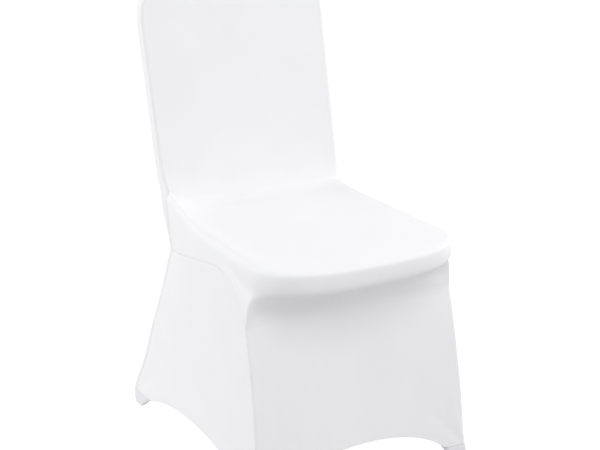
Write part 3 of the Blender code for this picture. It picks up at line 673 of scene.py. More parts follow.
# The slight unevenness of stretched cloth: slow waves everywhere, and faint upright pulls below a height in the skirt.
WAVE_FREQUENCY = 9.0
WAVE_HEIGHT = 0.0010
PULL_FREQUENCY = (70.0, 70.0, 5.0)
PULL_HEIGHT = 0.00025
PULLS_BELOW = 0.30
PULLS_FADE = 0.06
CALM_BY_HEM = 0.03

# Beside a seam's groove stands a low ridge. The hem's cloth is doubled, and its inner border shows as a small step.
RIDGE_HEIGHT = 0.35
RIDGE_PLACE = 2.2
HEM_STEP = 0.0004
HEM_STEP_WIDTH = 0.0015
HEM_GROOVE_WIDTH = 0.0012
POINTS_ON_EDGE = 6

# Where the points of a foot pocket's outline stand between its corners, and how large the flat of its sole is.
POCKET_SIDE_SHARES = (0.3, 0.6, 0.9)
POCKET_FACE_SHARES = (0.1, 0.4, 0.7)
POCKET_INNER_TURNS = (0.17, 0.33, 0.5, 0.67, 0.83)
SOLE_SHARE = 0.55

# How far the middle of a stitch lies above the cloth, and how far above the pockets' rims the thread ends.
THREAD_ABOVE = 0.0001
THREAD_ABOVE_RIM = 0.004
THREAD_POINTS = 400
THREAD_REACH = 0.998

# How far each panel stops short of its seam, so that two sewn panels keep clear of each other.
SEWN_GAP = 0.00015

# The knits. The real loops are about 0.6 by 0.5 mm, too fine to show, so they are drawn about twice as coarse.
Knit = namedtuple("Knit", "name shade wale course relief")
PANEL_KNIT = Knit("white polyester elastane warp knit", 0.985, wale=0.0012, course=0.0010, relief=0.00008)
POCKET_KNIT = Knit("doubled white polyester elastane knit", 0.96, wale=0.0014, course=0.0011, relief=0.00012)

# The real thread is about 0.3 mm thick, too fine to show, so it and its twist are drawn coarser.
PLY_TWIST = 0.0008
# How dark the painted shade in the groove between the plies is.
PLY_GROOVE_PAINTED_SHADE = 0.92

# Colours
CLOTH_WHITE = "#F4F4F6"
# The pockets' white is a little greyer than the panels': painted shade for the pockets down at the feet.
POCKET_SHADED_WHITE = "#EEEEF1"
THREAD_WHITE = "#F2F2F4"
SKY_COLOUR = (1.0, 1.0, 1.0)

# Studio
Softbox = namedtuple("Softbox", "name towards power")
SOFTBOXES = (
    Softbox("overhead front softbox", (0.0, -0.7, 0.7), 23.5),
    Softbox("right softbox", (1.0, 0.0, 0.25), 37.7),
    Softbox("left softbox", (-0.9, 0.4, 0.15), 29.5),
)
LIT_CENTRE = (0.0, 0.0, 0.45)
SOFTBOX_DISTANCE = 3.0
SOFTBOX_SIZE = 2.0
SKY_ABOVE = 0.727
SKY_BELOW = 0.637
CAMERA_PLACE = (-1.44444, -2.54158, 1.42736)
CAMERA_AZIMUTH = -29.758
CAMERA_ELEVATION = 18.666
SENSOR_WIDTH = 36.0
FLOOR_SIDES = 64


def grid_map(grid):
    """Where each point of a grid lies on the flat cloth, in metres: across it along the columns, and down the rows."""
    across = np.linalg.norm(np.diff(grid, axis=1), axis=2).mean(axis=0)
    down = np.linalg.norm(np.diff(grid, axis=0), axis=2).mean(axis=1)
    u = np.concatenate([[0], np.cumsum(across)])
    v = np.concatenate([[0], np.cumsum(down)])
    return np.stack(np.meshgrid(u, v), axis=-1)


def whole_cover():
    """One coarse mesh of the whole cover, each face with its panel's number and each corner with its flat place."""
    shell = bmesh.new()
    owner = shell.faces.layers.int.new("panel")
    flat = shell.loops.layers.uv.new("cloth")
    for half in HALVES:
        for panel, grid in half_cover(half):
            name = panel + "_" + half.name if panel == "side_panel" else panel
            places = grid_map(grid)
            made = [[shell.verts.new(point * (half.mirror, 1, 1)) for point in row] for row in grid]
            for i in range(len(made) - 1):
                for j in range(len(made[0]) - 1):
                    corners = ((i, j), (i, j + 1), (i + 1, j + 1), (i + 1, j))[:: half.mirror]
                    face = shell.faces.new([made[row][column] for row, column in corners])
                    face[owner] = PANELS.index(name)
                    for loop, corner in zip(face.loops, corners):
                        loop[flat].uv = places[corner]
    bmesh.ops.remove_doubles(shell, verts=shell.verts, dist=WELD)
    bmesh.ops.recalc_face_normals(shell, faces=shell.faces)
    highest = max(shell.faces, key=lambda face: face.calc_center_median().z)
    if highest.normal.z < 0:
        bmesh.ops.reverse_faces(shell, faces=shell.faces)
    return mesh_of("whole cover", shell)


def mesh_of(name, built):
    mesh = bpy.data.meshes.new(name)
    built.to_mesh(mesh)
    built.free()
    return mesh


def made_by(kind, mesh, set_up):
    """What a modifier makes of a mesh, as a new plain mesh. set_up gives the modifier its settings."""
    maker = bpy.data.objects.new(mesh.name, mesh)
    bpy.context.scene.collection.objects.link(maker)
    modifier = maker.modifiers.new(kind.lower(), kind)
    set_up(modifier)
    graph = bpy.context.evaluated_depsgraph_get()
    made = bpy.data.meshes.new_from_object(maker.evaluated_get(graph), depsgraph=graph)
    maker.modifiers.remove(modifier)
    bpy.data.objects.remove(maker, do_unlink=True)
    bpy.data.meshes.remove(mesh)
    return made


def divide_finely(modifier):
    modifier.levels = modifier.render_levels = FINER


def read(collection, name, kind, width):
    values = np.empty(len(collection) * width, kind)
    collection.foreach_get(name, values)
    return values.reshape(-1, width)


def along(points, step):
    """Points every step along a line through the given points."""
    length = np.linalg.norm(np.diff(points, axis=0), axis=1).sum()
    return respaced(points, np.linspace(0, 1, max(int(length / step), 1) + 1))


def tree_of(points):
    tree = KDTree(len(points))
    for number, point in enumerate(points):
        tree.insert(point, number)
    tree.balance()
    return tree


def distances(points, lines):
    """How far each point is from the nearest of the lines, which are dense lists of points."""
    tree = tree_of(lines)
    return np.array([tree.find(point)[2] for point in points])


def bell(distance, width):
    return np.exp(-((distance / width) ** 2))


def fold_lift(points, fold, side):
    """How far a fold moves each point outwards: a soft ridge where its height is above 0, a trough where below."""
    start, middle, end = (np.array(place) * (side, 1, 1) for place in (fold.start, fold.middle, fold.end))
    turn = np.linspace(0, 1, FOLD_POINTS)[:, None]
    line = blend(blend(start, middle, turn), blend(middle, end, turn), turn)
    reach = FOLD_REACH * fold.width
    low, high = line.min(axis=0) - reach, line.max(axis=0) + reach
    near = np.all((points > low) & (points < high), axis=1)
    gap = np.linalg.norm(points[near][:, None] - line[None], axis=2)
    run = turn[gap.argmin(axis=1), 0] if near.any() else turn[:0, 0]
    lift = np.zeros(len(points))
    width = fold.width * (FOLD_WIDTH_START + FOLD_WIDTH_GROWS * run)
    lift[near] = fold.height * np.sin(pi * run**fold.lean) * bell(gap.min(axis=1), width)
    return lift


def loose_cloth(points):
    """How far each point moves outwards because stretched cloth isn't quite even."""
    slow = np.array([noise.noise(Vector(point) * WAVE_FREQUENCY) for point in points])
    pulls = np.array([noise.noise(Vector(point * PULL_FREQUENCY)) for point in points])
    return WAVE_HEIGHT * slow + PULL_HEIGHT * pulls * (1 - ease((points[:, 2] - PULLS_BELOW) / PULLS_FADE))


class Shell:
    """The finished surface of the whole cover, made once and then cut into panels."""

    def __init__(self, cloth):
        mesh = made_by("SUBSURF", whole_cover(), divide_finely)
        mesh.update()
        self.points = read(mesh.vertices, "co", np.float32, 3).astype(float)
        self.normals = read(mesh.vertex_normals, "vector", np.float32, 3).astype(float)
        self.faces = read(mesh.loops, "vertex_index", np.int32, 1).reshape(-1, 4)
        self.owner = read(mesh.attributes["panel"].data, "value", np.int32, 1)[:, 0]
        self.flat = read(mesh.uv_layers["cloth"].uv, "vector", np.float32, 2).reshape(-1, 4, 2)
        bpy.data.meshes.remove(mesh)
        self.find_borders()
        self.shape_cloth(cloth)

    def find_borders(self):
        """The edges along the seams and along the hem, and a mark on each point that a seam passes."""
        sides = np.concatenate([self.faces[:, [i, (i + 1) % 4]] for i in range(4)])
        owners = np.tile(self.owner, 4)
        order = np.lexsort((np.sort(sides, axis=1)[:, 1], np.sort(sides, axis=1)[:, 0]))
        sides, owners = np.sort(sides, axis=1)[order], owners[order]
        same = np.all(sides[1:] == sides[:-1], axis=1)
        alone = np.ones(len(sides), bool)
        alone[1:] &= ~same
        alone[:-1] &= ~same
        self.hem_edges = sides[alone]
        self.seam_edges = sides[:-1][same & (owners[1:] != owners[:-1])]
        self.on_seam = np.zeros(len(self.points), bool)
        self.on_seam[self.seam_edges] = True

    def edge_points(self, edges):
        """Points close together along a list of edges."""
        share = np.linspace(0, 1, POINTS_ON_EDGE)[None, :, None]
        ends = self.points[edges]
        return (ends[:, :1] * (1 - share) + ends[:, 1:] * share).reshape(-1, 3)

    def shape_cloth(self, cloth):
        """Moves the surface along its own normals: folds, seams drawn in, and the doubled cloth of the hem."""
        self.seam_gap = distances(self.points, self.edge_points(self.seam_edges))
        self.hem_gap = distances(self.points, self.edge_points(self.hem_edges))
        lift = loose_cloth(self.points) * np.clip(self.hem_gap / CALM_BY_HEM, 0, 1)
        for fold in FOLDS:
            for side in {"left": (-1,), "right": (1,), "both": (-1, 1)}[fold.side]:
                lift += cloth.fold_strength * fold_lift(self.points, fold, side)
        lift -= cloth.seam_depth * bell(self.seam_gap, cloth.seam_width)
        lift += RIDGE_HEIGHT * cloth.seam_depth * bell(self.seam_gap - RIDGE_PLACE * cloth.seam_width, cloth.seam_width)
        inside_hem = 1 - ease((self.hem_gap - cloth.hem_width) / HEM_STEP_WIDTH + 0.5)
        lift += HEM_STEP * inside_hem - HEM_STEP * bell(self.hem_gap - cloth.hem_width, HEM_GROOVE_WIDTH)
        self.points += self.normals * lift[:, None]

    def panel_mesh(self, number):
        """The mesh of one panel, with its border a little back from each seam."""
        faces = self.faces[self.owner == number]
        used, local = np.unique(faces, return_inverse=True)
        local = local.reshape(faces.shape)
        points = self.points[used].copy()
        centres = self.points[faces].mean(axis=1)
        middle = np.zeros_like(points)
        np.add.at(middle, local.ravel(), np.repeat(centres, 4, axis=0))
        middle /= np.bincount(local.ravel(), minlength=len(used))[:, None]
        back = middle - points
        normals = self.normals[used]
        back -= normals * np.sum(back * normals, axis=1)[:, None]
        back /= np.linalg.norm(back, axis=1)[:, None] + 1e-12
        points += back * self.on_seam[used][:, None] * SEWN_GAP / 2
        mesh = bpy.data.meshes.new(PANELS[number])
        mesh.from_pydata(points.tolist(), [], local.tolist())
        layer = mesh.uv_layers.new(name="cloth")
        layer.uv.foreach_set("vector", self.flat[self.owner == number].astype(np.float32).ravel())
        mesh.shade_smooth()
        mesh.update()
        return mesh


made_once = {}


def shell_of(cloth):
    """The cover's surface, made when it is first asked for."""
    if "shell" not in made_once:
        made_once["shell"] = Shell(cloth)
    return made_once["shell"]


def surface_tree(shell):
    if "tree" not in made_once:
        made_once["tree"] = BVHTree.FromPolygons(shell.points.tolist(), shell.faces.tolist())
    return made_once["tree"]


def pocket_ring(end, ring):
    """The outline of a foot pocket at one height: round the outer corner, then back inside the leg."""
    z = ring.z
    reach = arch_reach(SIDE_HEM, z)
    across = arch_reach(END_HEM, z)
    if end == "front":
        corner = side_at(leg_y(FRONT_LEG, z), z)[None]
        side_end = side_at(SIDE_HEM.middle - reach, z)
        face_end = front_at(across, z)
    else:
        corner = rear_strip(np.array([z]))[0]
        side_end = side_at(SIDE_HEM.middle + reach, z)
        face_end = rear_at(across, z)
    inner = side_end + face_end - corner.mean(axis=0)
    outline = [side_end, *(blend(side_end, corner[0], share) for share in POCKET_SIDE_SHARES), *corner]
    outline += [*(blend(corner[-1], face_end, share) for share in POCKET_FACE_SHARES), face_end]
    for turn in POCKET_INNER_TURNS:
        outline.append(blend(blend(face_end, inner, turn), blend(inner, side_end, turn), turn))
    outline = np.array(outline)
    centre = outline.mean(axis=0)
    return centre + (outline - centre) * (ring.size, ring.size, 1)


def pocket_mesh(end, side):
    """A foot pocket's outside, from its rim to its closed sole."""
    mirror = 1 if side == "right" else -1
    outlines = [pocket_ring(end, ring) * (mirror, 1, 1) for ring in POCKET_RINGS]
    sole = outlines[-1]
    outlines.append(blend(sole.mean(axis=0), sole, SOLE_SHARE))
    pocket = bmesh.new()
    flat = pocket.loops.layers.uv.new("cloth")
    rings = [[pocket.verts.new(point) for point in outline] for outline in outlines]
    count = len(sole)
    steps = np.linalg.norm(np.roll(outlines[0], -1, axis=0) - outlines[0], axis=1)
    u = np.concatenate([[0], np.cumsum(steps)])
    v = np.cumsum([0] + [np.linalg.norm(b - a, axis=1).mean() for a, b in zip(outlines, outlines[1:])])
    for row in range(len(rings) - 1):
        for i in range(count):
            after = (i + 1) % count
            face = pocket.faces.new((rings[row][i], rings[row][after], rings[row + 1][after], rings[row + 1][i]))
            places = ((u[i], v[row]), (u[i + 1], v[row]), (u[i + 1], v[row + 1]), (u[i], v[row + 1]))
            for loop, place in zip(face.loops, places):
                loop[flat].uv = place
    floor = pocket.faces.new(rings[-1])
    for loop in floor.loops:
        loop[flat].uv = loop.vert.co.xy
    bmesh.ops.recalc_face_normals(pocket, faces=pocket.faces)
    if floor.normal.z > 0:
        bmesh.ops.reverse_faces(pocket, faces=pocket.faces)
    mesh = mesh_of(f"foot_pocket_{end}_{side}_cloth", pocket)
    mesh.shade_smooth()
    return mesh


def add_piece(name, mesh, material):
    """Puts a mesh in the scene under a name, in one material."""
    mesh.name = name
    mesh.materials.clear()
    mesh.materials.append(material)
    piece = bpy.data.objects.new(name, mesh)
    bpy.context.scene.collection.objects.link(piece)
    return piece


def give_thickness(piece, thickness):
    thicken = piece.modifiers.new("cloth thickness", "SOLIDIFY")
    thicken.thickness = thickness
    thicken.offset = -1


def hem_path(point_at, arch, inset, mirror, shell, places):
    """A line on the cloth that follows a hem at a distance above it and stops short of the pockets' rims."""
    height = arch_height(arch, places)
    slope = np.gradient(height, places)
    turned = np.stack([-slope, np.ones_like(slope)], axis=-1) / np.sqrt(1 + slope**2)[:, None]
    place, z = places + turned[:, 0] * inset, height + turned[:, 1] * inset
    kept = (z > RIM + THREAD_ABOVE_RIM) & (np.concatenate([[True], np.diff(place) > 0]))
    line = point_at(place[kept], z[kept]) * (mirror, 1, 1)
    tree = surface_tree(shell)
    found = [tree.find_nearest(point) for point in line]
    return np.array([np.array(place) + np.array(normal) * THREAD_ABOVE for place, normal, _, _ in found])


def hem_places_for_thread(arch, pockets):
    """Places along a hem for its thread, close together where the hem turns down at its ends."""
    turn = np.linspace(-1 if pockets == 2 else 0, 1, THREAD_POINTS)
    share = np.sin(turn * pi / 2)
    return arch.middle + arch.half * share * THREAD_REACH


def linear(colour):
    """An sRGB hex colour as linear red, green and blue."""
    parts = [int(colour[i : i + 2], 16) / 255 for i in (1, 3, 5)]
    return tuple(part / 12.92 if part <= 0.04045 else ((part + 0.055) / 1.055) ** 2.4 for part in parts)


def add(tree, kind, inputs=(), **settings):
    """Adds a node. inputs pairs each socket, by name or number, with a value or with another node's output."""
    node = tree.nodes.new(kind)
    for name, value in settings.items():
        setattr(node, name, value)
    for socket, value in dict(inputs).items():
        if isinstance(value, bpy.types.NodeSocket):
            tree.links.new(value, node.inputs[socket])
        else:
            node.inputs[socket].default_value = value
    return node


def wave_scale(period):
    """The wave texture's scale that gives bands this far apart, in metres."""
    return pi / (10 * period)


def spread(value, low, high):
    """Inputs of a Map Range node that spreads the middle of a noise from low to high."""
    return {"Value": value, "From Min": 0.3, "From Max": 0.7, "To Min": low, "To Max": high}


def new_material(name):
    """A material, its node tree and its shader."""
    material = bpy.data.materials.new(name)
    material.use_nodes = True
    return material, material.node_tree, material.node_tree.nodes["Principled BSDF"]


def knitted_cloth(knit, colour):
    """Warp-knitted polyester and elastane, heat set and piece dyed white.

    Rows of loops make a fine ribbed grain that breaks up the light, so the cloth is matt with a soft bright rim. Fuzz
    about 1 mm across blurs the loops, and the dye is very slightly uneven over patches about 70 mm across.
    """
    material, tree, shader = new_material(knit.name)
    place = add(tree, "ShaderNodeTexCoord")
    ribs = {"Vector": place.outputs["UV"], "Distortion": 0.6, "Detail": 1.0}
    wales = add(tree, "ShaderNodeTexWave", {**ribs, "Scale": wave_scale(knit.wale)}, bands_direction="X")
    courses = add(tree, "ShaderNodeTexWave", {**ribs, "Scale": wave_scale(knit.course)}, bands_direction="Y")
    loops = add(tree, "ShaderNodeMath", {0: wales.outputs["Fac"], 1: courses.outputs["Fac"]}, operation="MULTIPLY")
    fuzz = add(tree, "ShaderNodeTexNoise", {"Vector": place.outputs["Object"], "Scale": 900.0, "Detail": 2.0})
    relief = {0: fuzz.outputs["Fac"], 1: 0.35, 2: loops.outputs["Value"]}
    height = add(tree, "ShaderNodeMath", relief, operation="MULTIPLY_ADD")
    bump = add(tree, "ShaderNodeBump", {"Strength": 0.6, "Distance": knit.relief, "Height": height.outputs["Value"]})
    patches = add(
        tree,
        "ShaderNodeTexNoise",
        {"Vector": place.outputs["Object"], "Scale": 14.0, "Detail": 3.0, "Roughness": 0.6},
    )
    unevenness = add(tree, "ShaderNodeMapRange", spread(patches.outputs["Fac"], 0.0, 1.0))
    shades = {0: unevenness.outputs["Result"], 6: (*colour, 1.0), 7: (*(part * knit.shade for part in colour), 1.0)}
    tint = add(tree, "ShaderNodeMix", shades, data_type="RGBA")
    # Painted shade: the colour is made up to 3% darker where the loops' relief is lowest, in the gaps between the
    # loops.
    painted_gap_shade = add(
        tree,
        "ShaderNodeMapRange",
        {"Value": loops.outputs["Value"], "From Min": 0.0, "From Max": 0.5, "To Min": 0.97, "To Max": 1.0},
    )
    darkened = {0: 1.0, 6: tint.outputs[2], 7: painted_gap_shade.outputs["Result"]}
    shown = add(tree, "ShaderNodeMix", darkened, data_type="RGBA", blend_type="MULTIPLY")
    rough = add(tree, "ShaderNodeMapRange", spread(fuzz.outputs["Fac"], 0.70, 0.84))
    tree.links.new(shown.outputs[2], shader.inputs["Base Color"])
    tree.links.new(rough.outputs["Result"], shader.inputs["Roughness"])
    tree.links.new(bump.outputs["Normal"], shader.inputs["Normal"])
    shader.inputs["Specular IOR Level"].default_value = 0.25
    shader.inputs["Sheen Weight"].default_value = 0.08
    shader.inputs["Sheen Roughness"].default_value = 0.5
    return material


def thread_material(colour):
    """Spun polyester sewing thread: two plies twisted together, which gives a fine slanted line and a slight gloss."""
    material, tree, shader = new_material("spun polyester thread")
    place = add(tree, "ShaderNodeTexCoord")
    twist = {"Vector": place.outputs["Object"], "Scale": wave_scale(PLY_TWIST), "Distortion": 1.5}
    plies = add(tree, "ShaderNodeTexWave", twist, bands_direction="DIAGONAL")
    bump = add(tree, "ShaderNodeBump", {"Strength": 0.5, "Distance": 0.0001, "Height": plies.outputs["Fac"]})
    # Painted shade: the thread is darker where the twist's relief is lowest, in the groove between the plies.
    shades = {0: plies.outputs["Fac"], 6: (*(part * PLY_GROOVE_PAINTED_SHADE for part in colour), 1.0), 7: (*colour, 1.0)}
    tint = add(tree, "ShaderNodeMix", shades, data_type="RGBA")
    tree.links.new(tint.outputs[2], shader.inputs["Base Color"])
    tree.links.new(bump.outputs["Normal"], shader.inputs["Normal"])
    shader.inputs["Roughness"].default_value = 0.55
    shader.inputs["Sheen Weight"].default_value = 0.1
    return material


def floor_material(colour, glow):
    """Seamless white vinyl studio floor, lit so brightly that it reads as blank paper. Its grain is about 3 mm."""
    material, tree, shader = new_material("white vinyl studio floor")
    place = add(tree, "ShaderNodeTexCoord")
    grain = add(tree, "ShaderNodeTexNoise", {"Vector": place.outputs["Object"], "Scale": 300.0, "Detail": 2.0})
    rough = add(tree, "ShaderNodeMapRange", spread(grain.outputs["Fac"], 0.85, 0.95))
    tree.links.new(rough.outputs["Result"], shader.inputs["Roughness"])
    shader.inputs["Base Color"].default_value = (*colour, 1.0)
    shader.inputs["Specular IOR Level"].default_value = 0.0
    shader.inputs["Emission Color"].default_value = (1.0, 1.0, 1.0, 1.0)
    shader.inputs["Emission Strength"].default_value = glow
    return material


def stitch_tree():
    """The geometry nodes that lay stitches along lines: a spindle of thread at even steps, turned along the line."""
    tree = bpy.data.node_groups.new("stitches along a line", "GeometryNodeTree")
    tree.interface.new_socket("Lines", in_out="INPUT", socket_type="NodeSocketGeometry")
    for name in ("Stitch Length", "Stitch Gap", "Thread Width"):
        tree.interface.new_socket(name, in_out="INPUT", socket_type="NodeSocketFloat")
    tree.interface.new_socket("Thread", in_out="INPUT", socket_type="NodeSocketMaterial")
    tree.interface.new_socket("Stitches", in_out="OUTPUT", socket_type="NodeSocketGeometry")
    given = add(tree, "NodeGroupInput")
    both = {0: given.outputs["Stitch Length"], 1: given.outputs["Stitch Gap"]}
    step = add(tree, "ShaderNodeMath", both, operation="ADD")
    lines = add(tree, "GeometryNodeMeshToCurve", {"Mesh": given.outputs["Lines"]})
    spacing = {"Curve": lines.outputs["Curve"], "Length": step.outputs["Value"]}
    spaced = add(tree, "GeometryNodeResampleCurve", spacing, mode="LENGTH")
    tangent = add(tree, "GeometryNodeInputTangent")
    turned = add(tree, "FunctionNodeAlignRotationToVector", {"Vector": tangent.outputs["Tangent"]}, axis="Z")
    spindle = add(tree, "GeometryNodeMeshUVSphere", {"Segments": 6, "Rings": 5, "Radius": 0.5})
    size = add(
        tree,
        "ShaderNodeCombineXYZ",
        {"X": given.outputs["Thread Width"], "Y": given.outputs["Thread Width"], "Z": given.outputs["Stitch Length"]},
    )
    laid = add(
        tree,
        "GeometryNodeInstanceOnPoints",
        {
            "Points": spaced.outputs["Curve"],
            "Instance": spindle.outputs["Mesh"],
            "Rotation": turned.outputs["Rotation"],
            "Scale": size.outputs["Vector"],
        },
    )
    real = add(tree, "GeometryNodeRealizeInstances", {"Geometry": laid.outputs["Instances"]})
    smooth_faces = add(tree, "GeometryNodeSetShadeSmooth", {"Geometry": real.outputs["Geometry"]})
    finished = add(
        tree,
        "GeometryNodeSetMaterial",
        {"Geometry": smooth_faces.outputs["Geometry"], "Material": given.outputs["Thread"]},
    )
    add(tree, "NodeGroupOutput", {"Stitches": finished.outputs["Geometry"]})
    return tree


def stitched(name, lines, tree, values, material):
    """Stitches along the lines, as one plain mesh object."""
    points = np.concatenate(lines)
    starts = np.cumsum([0] + [len(line) for line in lines])
    edges = [(i, i + 1) for a, b in zip(starts, starts[1:]) for i in range(a, b - 1)]
    mesh = bpy.data.meshes.new("stitch lines")
    mesh.from_pydata(points.tolist(), edges, [])

    def lay(modifier):
        modifier.node_group = tree
        for item in tree.interface.items_tree:
            if item.in_out == "INPUT" and item.name in values:
                modifier[item.identifier] = values[item.name]

    return add_piece(name, made_by("NODES", mesh, lay), material)


class ClothSettings(bpy.types.PropertyGroup):
    thickness: FloatProperty(
        name="Thickness", description="How thick the knitted cloth is", default=0.0007, unit="LENGTH"
    )
    pocket_thickness: FloatProperty(
        name="Pocket Thickness", description="How thick a foot pocket's doubled cloth is", default=0.0012, unit="LENGTH"
    )
    seam_depth: FloatProperty(
        name="Seam Depth", description="How deep the cloth is drawn in at a seam", default=0.0007, unit="LENGTH"
    )
    seam_width: FloatProperty(
        name="Seam Width", description="How far from a seam the cloth is drawn in", default=0.0024, unit="LENGTH"
    )
    hem_width: FloatProperty(
        name="Hem Width", description="How far the cloth is turned back at the hem", default=0.018, unit="LENGTH"
    )
    fold_strength: FloatProperty(
        name="Fold Strength", description="How marked the folds are: 1 is as modelled", default=1.0, subtype="FACTOR"
    )
    colour: FloatVectorProperty(
        name="Colour", description="The cloth's dyed colour", default=linear(CLOTH_WHITE), subtype="COLOR"
    )
    pocket_colour: FloatVectorProperty(
        name="Pocket Colour", description="The doubled cloth's colour", default=linear(POCKET_SHADED_WHITE), subtype="COLOR"
    )


class ThreadSettings(bpy.types.PropertyGroup):
    stitch_length: FloatProperty(
        name="Stitch Length", description="How long one stitch is", default=0.0032, unit="LENGTH"
    )
    stitch_gap: FloatProperty(
        name="Stitch Gap", description="The gap between two stitches", default=0.0013, unit="LENGTH"
    )
    thread_width: FloatProperty(
        name="Thread Width", description="How thick the thread is", default=0.0006, unit="LENGTH"
    )
    row_distance: FloatProperty(
        name="Row Distance", description="How far apart the two rows of stitches are", default=0.005, unit="LENGTH"
    )
    colour: FloatVectorProperty(
        name="Colour", description="The thread's colour", default=linear(THREAD_WHITE), subtype="COLOR"
    )


class StageSettings(bpy.types.PropertyGroup):
    floor_radius: FloatProperty(
        name="Floor Radius", description="How far the floor reaches", default=9.0, unit="LENGTH"
    )
    floor_colour: FloatVectorProperty(
        name="Floor Colour", description="The floor's colour", default=(0.5, 0.5, 0.5), subtype="COLOR"
    )
    floor_glow: FloatProperty(
        name="Floor Glow", description="How brightly the floor shines of itself", default=0.80, min=0.0
    )
    lens: FloatProperty(name="Lens", description="The camera's focal length", default=96.0, unit="CAMERA")
    light_strength: FloatProperty(
        name="Softboxes", description="The strength of the three softboxes: 1 is as set", default=1.0, min=0.0
    )
    sky_strength: FloatProperty(
        name="Sky", description="The strength of the even light from all round: 1 is as set", default=1.0, min=0.0
    )


class CHAIRCOVER_OT_panels(bpy.types.Operator):
    """Make the four panels of the cover, sewn edge to edge and pulled tight into shape"""

    bl_idname = "chair_cover.panels"
    bl_label = "Sewn Panels"

    def execute(self, context):
        cloth = context.scene.chair_cover_cloth
        shell = shell_of(cloth)
        material = knitted_cloth(PANEL_KNIT, tuple(cloth.colour))
        for number, name in enumerate(PANELS):
            piece = add_piece(f"{name}_cloth", shell.panel_mesh(number), material)
            give_thickness(piece, cloth.thickness)
            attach(piece, "root")
            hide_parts(name)
        return {"FINISHED"}


class CHAIRCOVER_OT_foot_pockets(bpy.types.Operator):
    """Make the four foot pockets of doubled cloth that hold the cover down at its corners"""

    bl_idname = "chair_cover.foot_pockets"
    bl_label = "Foot Pockets"

    def execute(self, context):
        cloth = context.scene.chair_cover_cloth
        material = knitted_cloth(POCKET_KNIT, tuple(cloth.pocket_colour))
        for end, side in POCKETS:
            name = f"foot_pocket_{end}_{side}"
            piece = add_piece(f"{name}_cloth", pocket_mesh(end, side), material)
            divide_finely(piece.modifiers.new("rounded cup", "SUBSURF"))
            give_thickness(piece, cloth.pocket_thickness)
            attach(piece, "root")
            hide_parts(name)
        return {"FINISHED"}


class CHAIRCOVER_OT_hem_stitches(bpy.types.Operator):
    """Lay two rows of stitches along each arched hem"""

    bl_idname = "chair_cover.hem_stitches"
    bl_label = "Hem Stitches"

    def execute(self, context):
        scene = context.scene
        cloth, thread = scene.chair_cover_cloth, scene.chair_cover_thread
        shell = shell_of(cloth)
        material = thread_material(tuple(thread.colour))
        tree = stitch_tree()
        values = {
            "Stitch Length": thread.stitch_length,
            "Stitch Gap": thread.stitch_gap,
            "Thread Width": thread.thread_width,
            "Thread": material,
        }
        hems = {
            "front_panel": (front_at, END_HEM, 1),
            "back_panel": (rear_at, END_HEM, 1),
            "side_panel_left": (side_at, SIDE_HEM, 2),
            "side_panel_right": (side_at, SIDE_HEM, 2),
        }
        for name, (point_at, arch, pockets) in hems.items():
            lines = []
            for inset in (cloth.hem_width, cloth.hem_width - thread.row_distance):
                places = hem_places_for_thread(arch, pockets)
                if pockets == 2:
                    mirror = 1 if name.endswith("right") else -1
                    lines.append(hem_path(point_at, arch, inset, mirror, shell, places))
                else:
                    lines += [hem_path(point_at, arch, inset, mirror, shell, places) for mirror in (1, -1)]
            stitches = stitched(f"hem_stitches_{name}", lines, tree, values, material)
            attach(stitches, "root")
        return {"FINISHED"}


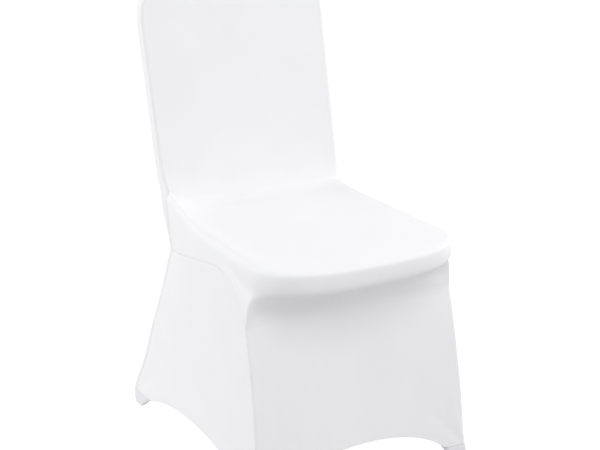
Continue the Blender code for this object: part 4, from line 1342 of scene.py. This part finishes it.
class CHAIRCOVER_OT_stage(bpy.types.Operator):
    """Make the pale floor, the soft studio light and the camera"""

    bl_idname = "chair_cover.stage"
    bl_label = "Studio"

    def execute(self, context):
        scene = context.scene
        stage = scene.chair_cover_stage
        round_floor = bmesh.new()
        bmesh.ops.create_circle(round_floor, cap_ends=True, radius=stage.floor_radius, segments=FLOOR_SIDES)
        vinyl = floor_material(tuple(stage.floor_colour), stage.floor_glow)
        floor = add_piece("studio_floor", mesh_of("studio_floor", round_floor), vinyl)
        floor.visible_diffuse = False

        sky = bpy.data.worlds.new("studio sky")
        sky.use_nodes = True
        tree = sky.node_tree
        place = add(tree, "ShaderNodeTexCoord")
        upward = add(tree, "ShaderNodeSeparateXYZ", {0: place.outputs["Generated"]})
        above = add(tree, "ShaderNodeMath", {0: upward.outputs["Z"], 1: 0.0}, operation="GREATER_THAN")
        strength = add(
            tree,
            "ShaderNodeMapRange",
            {
                "Value": above.outputs["Value"],
                "To Min": SKY_BELOW * stage.sky_strength,
                "To Max": SKY_ABOVE * stage.sky_strength,
            },
        )
        background = tree.nodes["Background"]
        background.inputs["Color"].default_value = (*SKY_COLOUR, 1.0)
        tree.links.new(strength.outputs["Result"], background.inputs["Strength"])
        scene.world = sky

        for softbox in SOFTBOXES:
            lamp = bpy.data.lights.new(softbox.name, "AREA")
            lamp.shape = "DISK"
            lamp.size = SOFTBOX_SIZE
            lamp.energy = softbox.power * stage.light_strength
            light = bpy.data.objects.new(softbox.name, lamp)
            towards = Vector(softbox.towards).normalized()
            light.location = Vector(LIT_CENTRE) + towards * SOFTBOX_DISTANCE
            light.rotation_euler = towards.to_track_quat("Z", "Y").to_euler()
            scene.collection.objects.link(light)

        shot = bpy.data.cameras.new("camera")
        shot.lens = stage.lens
        shot.sensor_width = SENSOR_WIDTH
        camera = bpy.data.objects.new("camera", shot)
        camera.location = CAMERA_PLACE
        camera.rotation_euler = (radians(90 - CAMERA_ELEVATION), 0.0, radians(CAMERA_AZIMUTH))
        scene.collection.objects.link(camera)
        scene.camera = camera
        scene.view_settings.view_transform = "Standard"
        return {"FINISHED"}


class CHAIRCOVER_PT_main(bpy.types.Panel):
    """The sidebar panel of the cover's sizes, colours and steps"""

    bl_label = "Stretch Chair Cover"
    bl_idname = "CHAIRCOVER_PT_main"
    bl_space_type = "VIEW_3D"
    bl_region_type = "UI"
    bl_category = "Chair Cover"

    def draw(self, context):
        for settings in SETTINGS:
            group = getattr(context.scene, settings)
            box = self.layout.box()
            for name in group.bl_rna.properties.keys():
                if name not in ("rna_type", "name"):
                    box.prop(group, name)
        for step in STEPS:
            self.layout.operator(step.bl_idname)


STEPS = (CHAIRCOVER_OT_panels, CHAIRCOVER_OT_foot_pockets, CHAIRCOVER_OT_hem_stitches, CHAIRCOVER_OT_stage)
SETTINGS = {
    "chair_cover_cloth": ClothSettings,
    "chair_cover_thread": ThreadSettings,
    "chair_cover_stage": StageSettings,
}
CLASSES = (*SETTINGS.values(), *STEPS, CHAIRCOVER_PT_main)


def register():
    for kind in CLASSES:
        bpy.utils.register_class(kind)
    for name, kind in SETTINGS.items():
        setattr(bpy.types.Scene, name, PointerProperty(type=kind))


def unregister():
    for name in SETTINGS:
        delattr(bpy.types.Scene, name)
    for kind in reversed(CLASSES):
        bpy.utils.unregister_class(kind)


def main():
    register()
    for step in STEPS:
        getattr(bpy.ops.chair_cover, step.bl_idname.split(".")[1])()
    bpy.context.view_layer.update()


if __name__ == "__main__":
    main()
